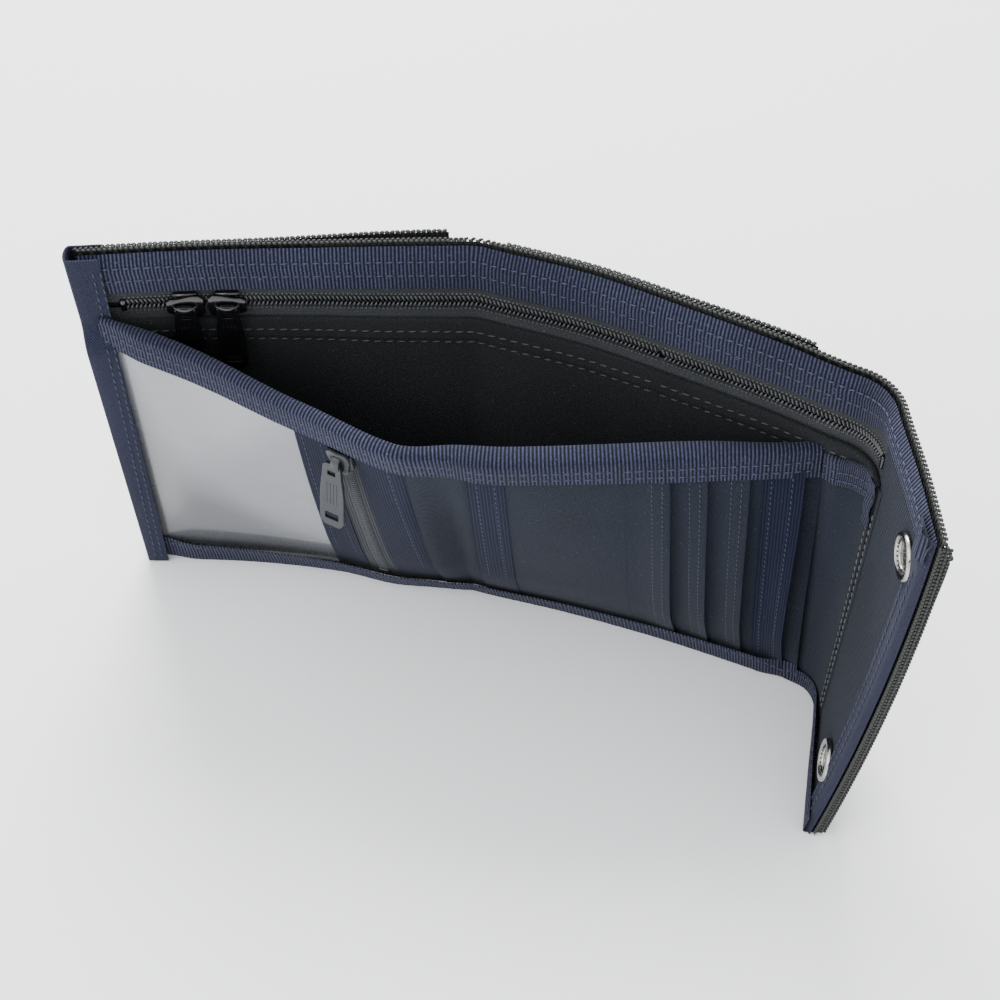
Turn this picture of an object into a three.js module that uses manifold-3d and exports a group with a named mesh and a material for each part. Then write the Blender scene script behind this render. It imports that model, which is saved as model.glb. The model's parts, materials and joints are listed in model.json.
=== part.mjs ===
// Trifold wallet, standing half open on its bottom edge.
//
// Three panels hang on two vertical folds. The middle panel lies along X with its inside facing -Y.
// The left panel and the flap turn towards -Y about the folds. The left and middle panels each carry
// a front wall that tips outwards from its bottom edge, which opens the bill compartment.
//
// Units are millimetres and +Z is up. The origin is the centre of the bounding box's base.
//
// Inside a panel's group, x runs along the panel, z is up, and a depth is measured inwards from the
// middle of the outer shell, so a depth d is the local y = -d.

import * as THREE from 'three';
import { mergeVertices } from 'three/addons/utils/BufferGeometryUtils.js';
import Module from 'manifold-3d';

const wasm = await Module();
wasm.setup();

// ---------------------------------------------------------------------------------------------
// Driving dimensions
// ---------------------------------------------------------------------------------------------

const HEIGHT = 120; // of the outer shell, which stands on its bottom binding
const LEFT_LENGTH = 93.6; // from fold 1 to the left end
const MIDDLE_LENGTH = 93.2; // between the two folds
const FLAP_LENGTH = 38.6; // from fold 2 to the flap's end
const FRONT_HEIGHT = 94.6; // of both front walls

const BEND_1 = 24; // degrees that fold 1 is closed
const BEND_2 = 66; // degrees that fold 2 is closed
const FOLD_1_RADIUS = 9.3; // from a shell to fold 1's axis, half the closed stack's depth
const FOLD_2_RADIUS = 13.1; // from a shell to fold 2's axis

const LEFT_LEAN = 20; // degrees that the left front wall tips outwards
const CARD_LEAN = 9; // degrees that the card wall tips outwards
const WEB_LEAN = 17.5; // degrees that the card wall's web beside fold 1 tips outwards

const GAP = 0.3; // left between pieces that are sewn or pressed together
const SHELL = 1.2; // thickness of the woven outer shell
const PATCH = 1.2; // thickness of an outer pocket
const LINING = 0.6; // thickness of lining cloth and facing tape
const ZIP_TAPE = 0.5; // thickness of a zip's woven tape
const BINDING = 0.5; // thickness of binding tape
const LAYER = 0.4; // thickness of one card pocket's cloth
const BAG = 0.4; // thickness of a pocket bag

const POCKET_HOLLOW = 0.9; // from the shell to the back of the zip tape, room for the pocket bag
const BOTTOM_BINDING = 6; // height of the binding along the bottom
const END_BINDING = 7.1; // width of the binding round a panel's end
const TOP_BINDING = 8.6; // height of the binding along a front wall's top
const FLAP_BINDING = 7; // height of the binding along the flap's top
const FACING = 11.4; // height of the facing tape inside the top edge

const CHAIN_HEIGHT = 4.4; // width of the long zip's closed coil
const CHAIN_DEPTH = 1.5; // thickness of the coil
const TAPE_SHOWING = 3.4; // of the long zip's tape above and below its coil
const TAPE_HEM = 3.4; // of the long zip's tape, hidden behind the facing or the lining
const SLIDER_LENGTH = 9.2;
const SLIDER_WIDTH = 6.8;
const SLIDER_PLATE = 0.5; // thickness of a slider's front plate
const PULL_WIDTH = 6.8;
const PULL_LENGTH = 21;
const PULL_THICKNESS = 0.8;
const SLIDER_A = -68.5; // along the left panel, the long zip's slider nearest the left end
const SLIDER_B = -58.3; // along the left panel, the long zip's other slider

const WINDOW_WIDTH = 51; // clear card window
const COIN_TAPE = 2.3; // showing width of each of the coin zip's tapes
const COIN_CHAIN = 3.6; // width of the coin zip's coil
const COIN_CHAIN_DEPTH = 1.2;
const COIN_STRIP = 7.7; // navy strip between the coin zip and the slip pocket
const FOLD_STRIP = 7.9; // navy strip beside fold 1
const COIN_SLIDER_DROP = 15; // from the top of the front wall to the coin slider
const SLIP_POCKET = 1.7; // thickness of the ribbed slip pocket, which bulges a little

const CARD_EDGES = [54, 61, 69.5, 82]; // along the middle panel, the open edges of the card pockets
const WEB_WIDTH = 25; // of the web beside fold 1
const WEB_MITRE = 22.5; // that the web's fold edge slopes back by at its top

const SOCKET_RADIUS = 5.35; // snap fastener's outer radius
const SOCKET_HEIGHT = 2.4;
const STUD_RADIUS = 2.1;
const STUD_HEIGHT = 2.0;
const SNAP_INSET = 13.4; // from the flap's end to the snaps
const SNAP_HEIGHTS = [18, 101];

// ---------------------------------------------------------------------------------------------
// Depths and levels worked out from them
// ---------------------------------------------------------------------------------------------

const shellIn = SHELL / 2;
const shellOut = -SHELL / 2;
const patchIn = shellOut - GAP;
const patchOut = patchIn - PATCH;
const tapeBack = shellIn + POCKET_HOLLOW;
const tapeFront = tapeBack + ZIP_TAPE;
const liningBack = tapeFront + GAP;
const liningFront = liningBack + LINING;
const lipBack = liningFront + GAP;
const lipFront = lipBack + BINDING;
const lipOut = shellOut - GAP;
const chainBack = shellIn + 0.5;
const chainFront = chainBack + CHAIN_DEPTH;

const shellBase = BINDING + GAP;
const bodyBase = BOTTOM_BINDING + GAP;
const facingBase = HEIGHT - 0.5 - FACING;
const chainTop = facingBase - TAPE_SHOWING;
const chainLevel = chainTop - CHAIN_HEIGHT / 2;
const chainBase = chainTop - CHAIN_HEIGHT;
const liningTop = chainBase - TAPE_SHOWING;

// A front wall turns about a line just inside the bottom binding. Its own depths start there.
const hingeDepth = lipFront - 0.2;
const hingeLevel = BOTTOM_BINDING - 0.5;
const backingBack = 0.5;
const backingFront = backingBack + LINING;
const faceBack = backingFront + GAP;
const wallBase = bodyBase + 0.2 - hingeLevel;
const wallTop = FRONT_HEIGHT - hingeLevel;
const faceTop = wallTop - TOP_BINDING - GAP;

const END_CLEARANCE = 0.3; // that a panel's pieces stop short of a fold or a binding

// ---------------------------------------------------------------------------------------------
// Materials
// ---------------------------------------------------------------------------------------------

function material(color, roughness, metalness = 0, extra = {}) {
  return new THREE.MeshStandardMaterial({ color, roughness, metalness, ...extra });
}

const look = {
  shell: () => material(0x23251f, 0.9),
  patch: () => material(0x26282a, 0.9),
  lining: () => material(0x3f4042, 0.85),
  card: () => material(0x47484a, 0.85),
  navy: () => material(0x2a3550, 0.8),
  tape: () => material(0x38393c, 0.85),
  coil: () => material(0x2c2d30, 0.55),
  coinTape: () => material(0x6c6e72, 0.7),
  clear: () => material(0xb9bec2, 0.35, 0, { transparent: true, opacity: 0.7 }),
  black: () => material(0x141416, 0.25, 0.3),
  gunmetal: () => material(0x6b6d70, 0.35, 0.9),
  nickel: () => material(0x9a9790, 0.35, 0.95),
};

// ---------------------------------------------------------------------------------------------
// Shapes
// ---------------------------------------------------------------------------------------------

/** A flat slab between two places along x, two depths and two levels. */
function slab(x0, x1, depth0, depth1, z0, z1) {
  const geometry = new THREE.BoxGeometry(x1 - x0, depth1 - depth0, z1 - z0);
  geometry.translate((x0 + x1) / 2, -(depth0 + depth1) / 2, (z0 + z1) / 2);
  return geometry;
}

/** A plate of any outline drawn in x and z, between two depths. */
function plate(shape, depth0, depth1, curveSegments = 6) {
  const options = { depth: depth1 - depth0, bevelEnabled: false, curveSegments };
  const geometry = new THREE.ExtrudeGeometry(shape, options);
  geometry.rotateX(Math.PI / 2);
  geometry.translate(0, -depth0, 0);
  return geometry;
}

/** A bar of constant section drawn in y and z, between two places along x. */
function barAlongX(shape, x0, x1) {
  const geometry = new THREE.ExtrudeGeometry(shape, { depth: x1 - x0, bevelEnabled: false, curveSegments: 4 });
  const turn = new THREE.Matrix4().makeBasis(
    new THREE.Vector3(0, 1, 0),
    new THREE.Vector3(0, 0, 1),
    new THREE.Vector3(1, 0, 0),
  );
  geometry.applyMatrix4(turn);
  geometry.translate(x0, 0, 0);
  return geometry;
}

/** An outline through a list of corners. */
function polygon(points) {
  return new THREE.Shape(points.map(([x, y]) => new THREE.Vector2(x, y)));
}

/** A rectangle whose corners are rounded to the given radius. */
function roundedRectangle(x0, x1, y0, y1, radius) {
  const shape = new THREE.Shape();
  shape.moveTo(x0 + radius, y0);
  shape.lineTo(x1 - radius, y0);
  shape.absarc(x1 - radius, y0 + radius, radius, -Math.PI / 2, 0);
  shape.lineTo(x1, y1 - radius);
  shape.absarc(x1 - radius, y1 - radius, radius, 0, Math.PI / 2);
  shape.lineTo(x0 + radius, y1);
  shape.absarc(x0 + radius, y1 - radius, radius, Math.PI / 2, Math.PI);
  shape.lineTo(x0, y0 + radius);
  shape.absarc(x0 + radius, y0 + radius, radius, Math.PI, 1.5 * Math.PI);
  return shape;
}

/** A channel of binding tape folded round an edge that runs along x. open is +1 when it opens upwards. */
function bindingAlongX(x0, x1, outerLip, innerLip, edge, reach, open) {
  const rim = edge + open * reach;
  const floor = edge + open * BINDING;
  const section = [
    [-outerLip, edge], [-outerLip, rim], [-(outerLip + BINDING), rim], [-(outerLip + BINDING), floor],
    [-(innerLip - BINDING), floor], [-(innerLip - BINDING), rim], [-innerLip, rim], [-innerLip, edge],
  ];
  return barAlongX(polygon(section), x0, x1);
}

/** A channel of binding tape folded round an upright edge. open is +1 when it opens towards +x. */
function bindingUpright(edge, reach, open, outerLip, innerLip, z0, z1) {
  const rim = edge + open * reach;
  const floor = edge + open * BINDING;
  const section = [
    [edge, -outerLip], [rim, -outerLip], [rim, -(outerLip + BINDING)], [floor, -(outerLip + BINDING)],
    [floor, -(innerLip - BINDING)], [rim, -(innerLip - BINDING)], [rim, -innerLip], [edge, -innerLip],
  ];
  const geometry = new THREE.ExtrudeGeometry(polygon(section), { depth: z1 - z0, bevelEnabled: false });
  geometry.translate(0, 0, z0);
  return geometry;
}

/** The solid that manifold-3d works on. */
function solid(geometry) {
  const bare = geometry.clone();
  bare.deleteAttribute('normal');
  bare.deleteAttribute('uv');
  const merged = mergeVertices(bare, 1e-5);
  const vertProperties = new Float32Array(merged.attributes.position.array);
  const triVerts = new Uint32Array(merged.index.array);
  return new wasm.Manifold(new wasm.Mesh({ numProp: 3, vertProperties, triVerts }));
}

/** A geometry made of one or more overlapping geometries joined into one body. */
function joined(...geometries) {
  const whole = geometries.map(solid).reduce((sum, next) => sum.add(next));
  const mesh = whole.getMesh();
  const geometry = new THREE.BufferGeometry();
  geometry.setAttribute('position', new THREE.BufferAttribute(mesh.vertProperties, 3));
  geometry.setIndex(new THREE.BufferAttribute(mesh.triVerts, 1));
  const faceted = geometry.toNonIndexed();
  faceted.computeVertexNormals();
  return faceted;
}

/** A named piece in its own node. */
function piece(parent, name, geometry, finish) {
  const mesh = new THREE.Mesh(geometry, finish());
  mesh.name = name;
  parent.add(mesh);
  return mesh;
}

// ---------------------------------------------------------------------------------------------
// Zip fittings
// ---------------------------------------------------------------------------------------------

const BRIDGE_WIDTH = 1.6; // along the pull's pivot
const BRIDGE_LEG = 0.8;
const BRIDGE_OPENING = 1.8; // half the room between the bridge's legs
const PIVOT_RISE = 0.7; // from the slider's plate to the pull's pivot
const BRIDGE_RISE = 1.4; // from the slider's plate to the underside of the bridge
const PULL_BAR = 0.5; // half the height of the pull's top bar

/** A slider over a coil whose face is at depth coilFace, centred on the origin. The bridge's opening runs along x. */
function sliderGeometry(coilFace, upright) {
  const plateBack = coilFace + GAP;
  const plateFront = plateBack + SLIDER_PLATE;
  const half = SLIDER_LENGTH / 2;
  const side = SLIDER_WIDTH / 2;
  const outline = new THREE.Shape();
  outline.moveTo(-half, -side * 0.55);
  outline.quadraticCurveTo(-half * 0.2, -side * 0.7, half * 0.35, -side);
  outline.absarc(half * 0.4, 0, side, -Math.PI / 2, Math.PI / 2);
  outline.lineTo(half * 0.35, side);
  outline.quadraticCurveTo(-half * 0.2, side * 0.7, -half, side * 0.55);
  const body = plate(outline, plateBack, plateFront);
  if (upright) body.rotateY(-Math.PI / 2);
  const legTop = BRIDGE_OPENING + BRIDGE_LEG;
  const bridgeIn = -(plateFront + BRIDGE_RISE);
  const bridgeOut = bridgeIn - 0.6;
  const root = -(plateBack + 0.2);
  const arch = polygon([
    [root, -legTop], [root, -BRIDGE_OPENING], [bridgeIn, -BRIDGE_OPENING], [bridgeIn, BRIDGE_OPENING],
    [root, BRIDGE_OPENING], [root, legTop], [bridgeOut + 0.5, legTop], [bridgeOut, legTop - 0.8],
    [bridgeOut, -legTop + 0.8], [bridgeOut + 0.5, -legTop],
  ]);
  return joined(body, barAlongX(arch, -BRIDGE_WIDTH / 2, BRIDGE_WIDTH / 2));
}

/** The depth of the pull's pivot over a coil whose face is at depth coilFace. */
function pivotDepth(coilFace) {
  return coilFace + GAP + SLIDER_PLATE + PIVOT_RISE;
}

/** A pull that hangs down from its pivot at the origin. */
function pullGeometry() {
  const half = PULL_WIDTH / 2;
  const shape = roundedRectangle(-half, half, PULL_BAR - PULL_LENGTH, PULL_BAR, 0.45);
  const slot = roundedRectangle(-1.6, 1.6, -4.4, -PULL_BAR, 0.3);
  const moon = new THREE.Path();
  const moonLevel = PULL_BAR - PULL_LENGTH + 2;
  moon.moveTo(-1.8, moonLevel);
  moon.absarc(0, moonLevel, 1.8, Math.PI, 0, true);
  shape.holes.push(new THREE.Path(slot.getPoints(3)), moon);
  return plate(shape, -PULL_THICKNESS / 2, PULL_THICKNESS / 2);
}

/** A slider and its hanging pull, in a group at a place along x and a level. */
function addSlider(parent, names, x, z, coilFace, upright, finish) {
  const at = new THREE.Group();
  at.position.set(x, 0, z);
  parent.add(at);
  piece(at, names.slider, sliderGeometry(coilFace, upright), finish);
  const pull = piece(at, names.pull, pullGeometry(), finish);
  pull.position.y = -pivotDepth(coilFace);
}

/** A coil of closed teeth between two places along x: a flat bar with rounded edges. */
function coilAlongX(x0, x1, z0, z1, depth0, depth1) {
  return barAlongX(roundedRectangle(-depth1, -depth0, z0, z1, 0.5), x0, x1);
}

// ---------------------------------------------------------------------------------------------
// Back walls of the left and middle panels
// ---------------------------------------------------------------------------------------------

/** The long zip between the facing tape and the lining, from x0 to x1. */
function addLongZip(panel, side, x0, x1) {
  const upper = slab(x0, x1, tapeBack, tapeFront, chainTop + 0.2, chainTop + TAPE_SHOWING + TAPE_HEM);
  const lower = slab(x0, x1, tapeBack, tapeFront, chainBase - TAPE_SHOWING - TAPE_HEM, chainBase - 0.2);
  piece(panel, `zip_tape_upper_${side}`, upper, look.tape);
  piece(panel, `zip_tape_lower_${side}`, lower, look.tape);
  const coil = coilAlongX(x0, x1, chainBase + 0.1, chainTop - 0.1, chainBack, chainFront);
  piece(panel, `zip_coil_${side}`, coil, look.coil);
}

/** The metal clip that ends the long zip, past the coil's end at x. */
function addZipStop(panel, name, x, direction) {
  const near = x + direction * GAP;
  const far = near + direction * 1.2;
  const clip = slab(Math.min(near, far), Math.max(near, far), chainBack, chainFront, chainBase + 0.6, chainTop - 0.6);
  piece(panel, name, clip, look.black);
}

/** Shell, outer pocket, pocket bag, lining and facing of a back wall. */
function addBackWall(panel, side, shellSpan, patchSpan, liningSpan) {
  const [s0, s1] = shellSpan;
  const [l0, l1] = liningSpan;
  piece(panel, `outer_shell_${side}`, slab(s0, s1, shellOut, shellIn, shellBase, HEIGHT), look.shell);
  const patch = roundedRectangle(patchSpan[0], patchSpan[1], bodyBase, HEIGHT - 1, 2);
  piece(panel, `outer_pocket_${side}`, plate(patch, patchOut, patchIn), look.patch);
  const bagBack = shellIn + GAP;
  const bag = slab(l0, l1, bagBack, bagBack + BAG, bodyBase, chainBase - TAPE_SHOWING);
  piece(panel, `zip_pocket_bag_${side}`, bag, look.lining);
  piece(panel, `lining_${side}`, slab(l0, l1, liningBack, liningFront, bodyBase, liningTop), look.lining);
  const facing = slab(l0, l1, liningBack, liningFront, facingBase, facingBase + FACING);
  piece(panel, `facing_tape_${side}`, facing, look.navy);
}

function addLeftBackWall(panel) {
  const end = -LEFT_LENGTH;
  const inside = end + BINDING + END_CLEARANCE;
  const fold = -END_CLEARANCE;
  const patchSpan = [end + END_BINDING + GAP, fold - 3.5];
  addBackWall(panel, 'left', [inside, fold], patchSpan, [inside, fold]);
  addLongZip(panel, 'left', inside + 6, fold);
  addZipStop(panel, 'zip_stop_left', inside + 6, -1);
  const sides = bindingUpright(end, END_BINDING, 1, lipOut - BINDING, lipFront, bodyBase, HEIGHT);
  piece(panel, 'end_binding_left', sides, look.navy);
  const bottom = bindingAlongX(end, fold, lipOut - BINDING, lipFront, 0, BOTTOM_BINDING, 1);
  piece(panel, 'bottom_binding_left', bottom, look.navy);
}

function addMiddleBackWall(panel) {
  const near = END_CLEARANCE;
  const far = MIDDLE_LENGTH - END_CLEARANCE;
  addBackWall(panel, 'middle', [near, far], [near + 3.5, far - 11], [near, far]);
  addLongZip(panel, 'middle', near, far - 2.5);
  addZipStop(panel, 'zip_stop_middle', far - 2.5, 1);
  const bottom = bindingAlongX(near, far, lipOut - BINDING, lipFront, 0, BOTTOM_BINDING, 1);
  piece(panel, 'bottom_binding_middle', bottom, look.navy);
}

/** Lining that turns round fold 2 inside both walls, concentric with the fold. */
function addFoldLining(panel) {
  const outer = FOLD_2_RADIUS - lipFront - GAP;
  const inner = outer - LINING;
  const start = Math.PI / 2 - THREE.MathUtils.degToRad(BEND_2 - 6);
  const stop = Math.PI / 2 - THREE.MathUtils.degToRad(2);
  const shape = new THREE.Shape();
  shape.absarc(0, 0, outer, start, stop, false);
  shape.absarc(0, 0, inner, stop, start, true);
  const options = { depth: HEIGHT - 1 - bodyBase, bevelEnabled: false, curveSegments: 8 };
  const sleeve = new THREE.ExtrudeGeometry(shape, options);
  sleeve.translate(MIDDLE_LENGTH, -FOLD_2_RADIUS, bodyBase);
  piece(panel, 'fold_lining', sleeve, look.lining);
}

// ---------------------------------------------------------------------------------------------
// Front walls
// ---------------------------------------------------------------------------------------------

/** A group whose z axis leans outwards by so many degrees about the line inside the bottom binding. */
function leaningGroup(panel, degrees) {
  const wall = new THREE.Group();
  wall.position.set(0, -hingeDepth, hingeLevel);
  wall.rotation.x = THREE.MathUtils.degToRad(degrees);
  panel.add(wall);
  return wall;
}

/** Binding tape over the top edge of a front wall. */
function topBinding(x0, x1) {
  const back = backingBack - GAP - BINDING;
  const front = backingFront + GAP + BINDING;
  return bindingAlongX(x0, x1, back, front, wallTop, TOP_BINDING, -1);
}

/** The window, coin pocket and slip pocket that cover the left front wall, from its end to fold 1. */
function addLeftFrontWall(panel) {
  const wall = leaningGroup(panel, LEFT_LEAN);
  const start = -LEFT_LENGTH + END_BINDING + GAP;
  const stop = -END_CLEARANCE - 0.3;
  const edgeTop = wallTop - BINDING - GAP;
  const backing = slab(start, stop, backingBack, backingFront, wallBase, edgeTop);
  piece(wall, 'front_backing_left', backing, look.lining);
  piece(wall, 'top_binding_left', topBinding(start, stop), look.navy);

  const windowEnd = start + WINDOW_WIDTH;
  const bagFront = faceBack + BAG;
  const windowBack = bagFront + GAP;
  const coinBag = slab(start, windowEnd, faceBack, bagFront, wallBase, faceTop);
  piece(wall, 'coin_pocket_bag', coinBag, look.lining);
  const pane = roundedRectangle(start, windowEnd, wallBase, faceTop, 1.5);
  piece(wall, 'card_window', plate(pane, windowBack, windowBack + 0.5), look.clear);

  const tapeBackHere = faceBack;
  const tapeFrontHere = tapeBackHere + ZIP_TAPE;
  const tapeStart = windowEnd + GAP;
  const coilStart = tapeStart + COIN_TAPE + 0.1;
  const coilStop = coilStart + COIN_CHAIN;
  const tapeStop = coilStop + 0.1 + COIN_TAPE;
  const outerTape = slab(tapeStart, coilStart - 0.1, tapeBackHere, tapeFrontHere, wallBase, faceTop);
  const innerTape = slab(coilStop + 0.1, tapeStop, tapeBackHere, tapeFrontHere, wallBase, faceTop);
  piece(wall, 'coin_zip_tape_outer', outerTape, look.coinTape);
  piece(wall, 'coin_zip_tape_inner', innerTape, look.coinTape);
  const coilFace = faceBack + COIN_CHAIN_DEPTH;
  const coil = roundedRectangle(coilStart + 0.1, coilStop - 0.1, wallBase, faceTop - 1.8, 0.4);
  piece(wall, 'coin_zip_coil', plate(coil, faceBack, coilFace), look.coil);
  const clip = slab(coilStart + 0.6, coilStop - 0.6, faceBack, coilFace, faceTop - 1.5, faceTop - 0.4);
  piece(wall, 'coin_zip_stop', clip, look.gunmetal);
  const coinNames = { slider: 'coin_zip_slider', pull: 'coin_zip_pull' };
  const coinLevel = wallTop - COIN_SLIDER_DROP;
  addSlider(wall, coinNames, (coilStart + coilStop) / 2, coinLevel, coilFace, true, look.gunmetal);

  const stripStart = tapeStop + GAP;
  const stripStop = stripStart + COIN_STRIP;
  const strip = slab(stripStart, stripStop, faceBack, faceBack + LINING, wallBase, faceTop);
  piece(wall, 'coin_strip', strip, look.navy);
  const foldStripStart = stop - FOLD_STRIP;
  const slip = roundedRectangle(stripStop + GAP, foldStripStart - GAP, wallBase, faceTop, 1);
  piece(wall, 'slip_pocket', plate(slip, faceBack, faceBack + SLIP_POCKET), look.card);
  const foldStrip = slab(foldStripStart, stop, faceBack, faceBack + LINING, wallBase, faceTop);
  piece(wall, 'fold_strip', foldStrip, look.navy);
}

/** The card wall: a backing and four pockets, each open towards fold 2 and shorter than the one behind. */
function addCardWall(panel) {
  const wall = leaningGroup(panel, CARD_LEAN);
  const start = WEB_WIDTH + END_CLEARANCE;
  const stop = MIDDLE_LENGTH - 2.4;
  const edgeTop = wallTop - BINDING - GAP;
  const backing = slab(start, stop, backingBack, backingFront, wallBase, edgeTop);
  piece(wall, 'card_backing', backing, look.card);
  piece(wall, 'top_binding_middle', topBinding(start, stop), look.navy);
  const order = [...CARD_EDGES].reverse();
  order.forEach((edge, index) => {
    const back = faceBack + index * (LAYER + GAP);
    const outline = roundedRectangle(start, edge, wallBase, faceTop, 0.8);
    const finish = index === 0 ? look.navy : look.card;
    piece(wall, `card_pocket_${index + 1}`, plate(outline, back, back + LAYER), finish);
  });
}

/** The web of the card wall beside fold 1. Its fold edge slopes so that it clears the left front wall. */
function addFoldWeb(panel) {
  const wall = leaningGroup(panel, WEB_LEAN);
  const near = END_CLEARANCE + 0.7;
  const edgeTop = wallTop - BINDING - GAP;
  const outline = polygon([
    [near, wallBase], [WEB_WIDTH, wallBase], [WEB_WIDTH, edgeTop], [near + WEB_MITRE, edgeTop],
  ]);
  piece(wall, 'fold_web', plate(outline, backingBack, backingFront), look.card);
}

// ---------------------------------------------------------------------------------------------
// Flap and snap fasteners
// ---------------------------------------------------------------------------------------------

/** A turned piece whose profile is drawn as radius and height, standing inwards from a depth. */
function turned(profile, x, depth, level, inwards) {
  const points = profile.map(([radius, height]) => new THREE.Vector2(radius, height));
  const geometry = new THREE.LatheGeometry(points, 28);
  if (inwards) geometry.rotateX(Math.PI);
  geometry.translate(x, -depth, level);
  return geometry;
}

/** A snap's socket: a beaded ring with an open middle. */
function socketProfile() {
  const rim = SOCKET_RADIUS - 1.3;
  const bore = STUD_RADIUS + 0.4;
  return [
    [bore, 0], [SOCKET_RADIUS, 0], [SOCKET_RADIUS, 0.6], [SOCKET_RADIUS - 0.5, 1],
    [SOCKET_RADIUS - 0.5, SOCKET_HEIGHT - 0.5], [rim, SOCKET_HEIGHT], [rim - 0.7, SOCKET_HEIGHT - 0.1],
    [rim - 0.9, 1.1], [bore, 0.9], [bore, 0],
  ];
}

/** A snap's stud: a flange with a waisted boss. */
function studProfile() {
  const flange = 0.6;
  return [
    [0, 0], [SOCKET_RADIUS - 0.4, 0], [SOCKET_RADIUS - 0.4, flange], [STUD_RADIUS - 0.3, flange],
    [STUD_RADIUS - 0.3, flange + 0.5], [STUD_RADIUS, flange + 1], [STUD_RADIUS - 0.4, flange + STUD_HEIGHT],
    [0, flange + STUD_HEIGHT],
  ];
}

/** A snap's outside cap: a shallow dome. */
function capProfile() {
  return [[0, 0], [5.6, 0], [5.7, 0.4], [4.6, 0.9], [2.6, 1.15], [0, 1.2]];
}

function addStuds(panel) {
  const x = -(MIDDLE_LENGTH - FLAP_LENGTH + SNAP_INSET);
  SNAP_HEIGHTS.forEach((level, index) => {
    const place = index ? 'upper' : 'lower';
    const stud = turned(studProfile(), x, patchOut - GAP, level, false);
    piece(panel, `snap_stud_${place}`, stud, look.nickel);
  });
}

function addFlap(panel) {
  const near = END_CLEARANCE;
  const end = FLAP_LENGTH;
  const far = end - BINDING - END_CLEARANCE;
  const sideStop = end - END_BINDING - GAP;
  const flapLiningBack = shellIn + GAP;
  const flapLiningFront = flapLiningBack + LINING;
  const lip = flapLiningFront + GAP + BINDING;
  const top = HEIGHT - BINDING - GAP;
  piece(panel, 'outer_shell_flap', slab(near, far, shellOut, shellIn, shellBase, top), look.shell);
  piece(panel, 'lining_flap', slab(near, far, flapLiningBack, flapLiningFront, shellBase, top), look.lining);
  const patchStart = end - END_BINDING - GAP - 15;
  const bindingBase = HEIGHT - FLAP_BINDING;
  const patch = slab(patchStart, far, patchOut, patchIn, bodyBase, bindingBase - GAP);
  piece(panel, 'outer_pocket_flap', patch, look.patch);
  const upper = bindingAlongX(near, sideStop, lipOut - BINDING, lip, HEIGHT, FLAP_BINDING, -1);
  piece(panel, 'flap_binding_top', upper, look.navy);
  const lower = bindingAlongX(near, sideStop, lipOut - BINDING, lip, 0, BOTTOM_BINDING, 1);
  piece(panel, 'flap_binding_bottom', lower, look.navy);
  const side = bindingUpright(end, END_BINDING, -1, patchOut - GAP - BINDING, lip, 0, HEIGHT);
  piece(panel, 'flap_binding_end', side, look.navy);
  const snapX = end - SNAP_INSET;
  SNAP_HEIGHTS.forEach((level, index) => {
    const place = index ? 'upper' : 'lower';
    const socket = turned(socketProfile(), snapX, flapLiningFront + GAP, level, true);
    piece(panel, `snap_socket_${place}`, socket, look.nickel);
    const cap = turned(capProfile(), snapX, patchOut - GAP, level, false);
    piece(panel, `snap_cap_${place}`, cap, look.nickel);
  });
}

// ---------------------------------------------------------------------------------------------
// Assembly
// ---------------------------------------------------------------------------------------------

/** A group turned about an upright fold axis, in which the panel's shell passes through the origin. */
function foldedPanel(parent, foldX, radius, degrees) {
  const pivot = new THREE.Group();
  pivot.position.set(foldX, -radius, 0);
  pivot.rotation.z = THREE.MathUtils.degToRad(degrees);
  const panel = new THREE.Group();
  panel.position.y = radius;
  pivot.add(panel);
  parent.add(pivot);
  return panel;
}

function buildWallet() {
  const wallet = new THREE.Group();
  const middle = new THREE.Group();
  wallet.add(middle);
  const left = foldedPanel(middle, 0, FOLD_1_RADIUS, BEND_1);
  const flap = foldedPanel(middle, MIDDLE_LENGTH, FOLD_2_RADIUS, -BEND_2);

  addMiddleBackWall(middle);
  addFoldLining(middle);
  addCardWall(middle);
  addFoldWeb(middle);

  addLeftBackWall(left);
  addLeftFrontWall(left);
  addStuds(left);
  const zipA = { slider: 'zip_slider_a', pull: 'zip_pull_a' };
  const zipB = { slider: 'zip_slider_b', pull: 'zip_pull_b' };
  addSlider(left, zipA, SLIDER_A, chainLevel, chainFront, false, look.black);
  addSlider(left, zipB, SLIDER_B, chainLevel, chainFront, false, look.black);

  addFlap(flap);

  const box = new THREE.Box3().setFromObject(wallet);
  const centre = box.getCenter(new THREE.Vector3());
  middle.position.set(-centre.x, -centre.y, -box.min.z);
  return wallet;
}

const wallet = buildWallet();
wallet.name = 'trifold_wallet';

export default wallet;
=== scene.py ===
"""Trifold wallet, standing half open on its bottom edge, dressed in cloth, binding tape and metal.

Sizes are in millimetres in the wallet's own frame, +Z up, and become metres when a mesh is finished.
A place on a wall has three numbers: along it from the left end, up from the floor, and a depth, measured
inwards from the middle of the outer shell or, on the front wall, outwards from its backing cloth.
"""

import json
import logging
import math
from bisect import bisect_right
from dataclasses import dataclass
from enum import Enum
from typing import Callable, ClassVar, Iterable, Sequence

import bmesh
import bpy
from mathutils import Matrix, Vector


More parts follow.
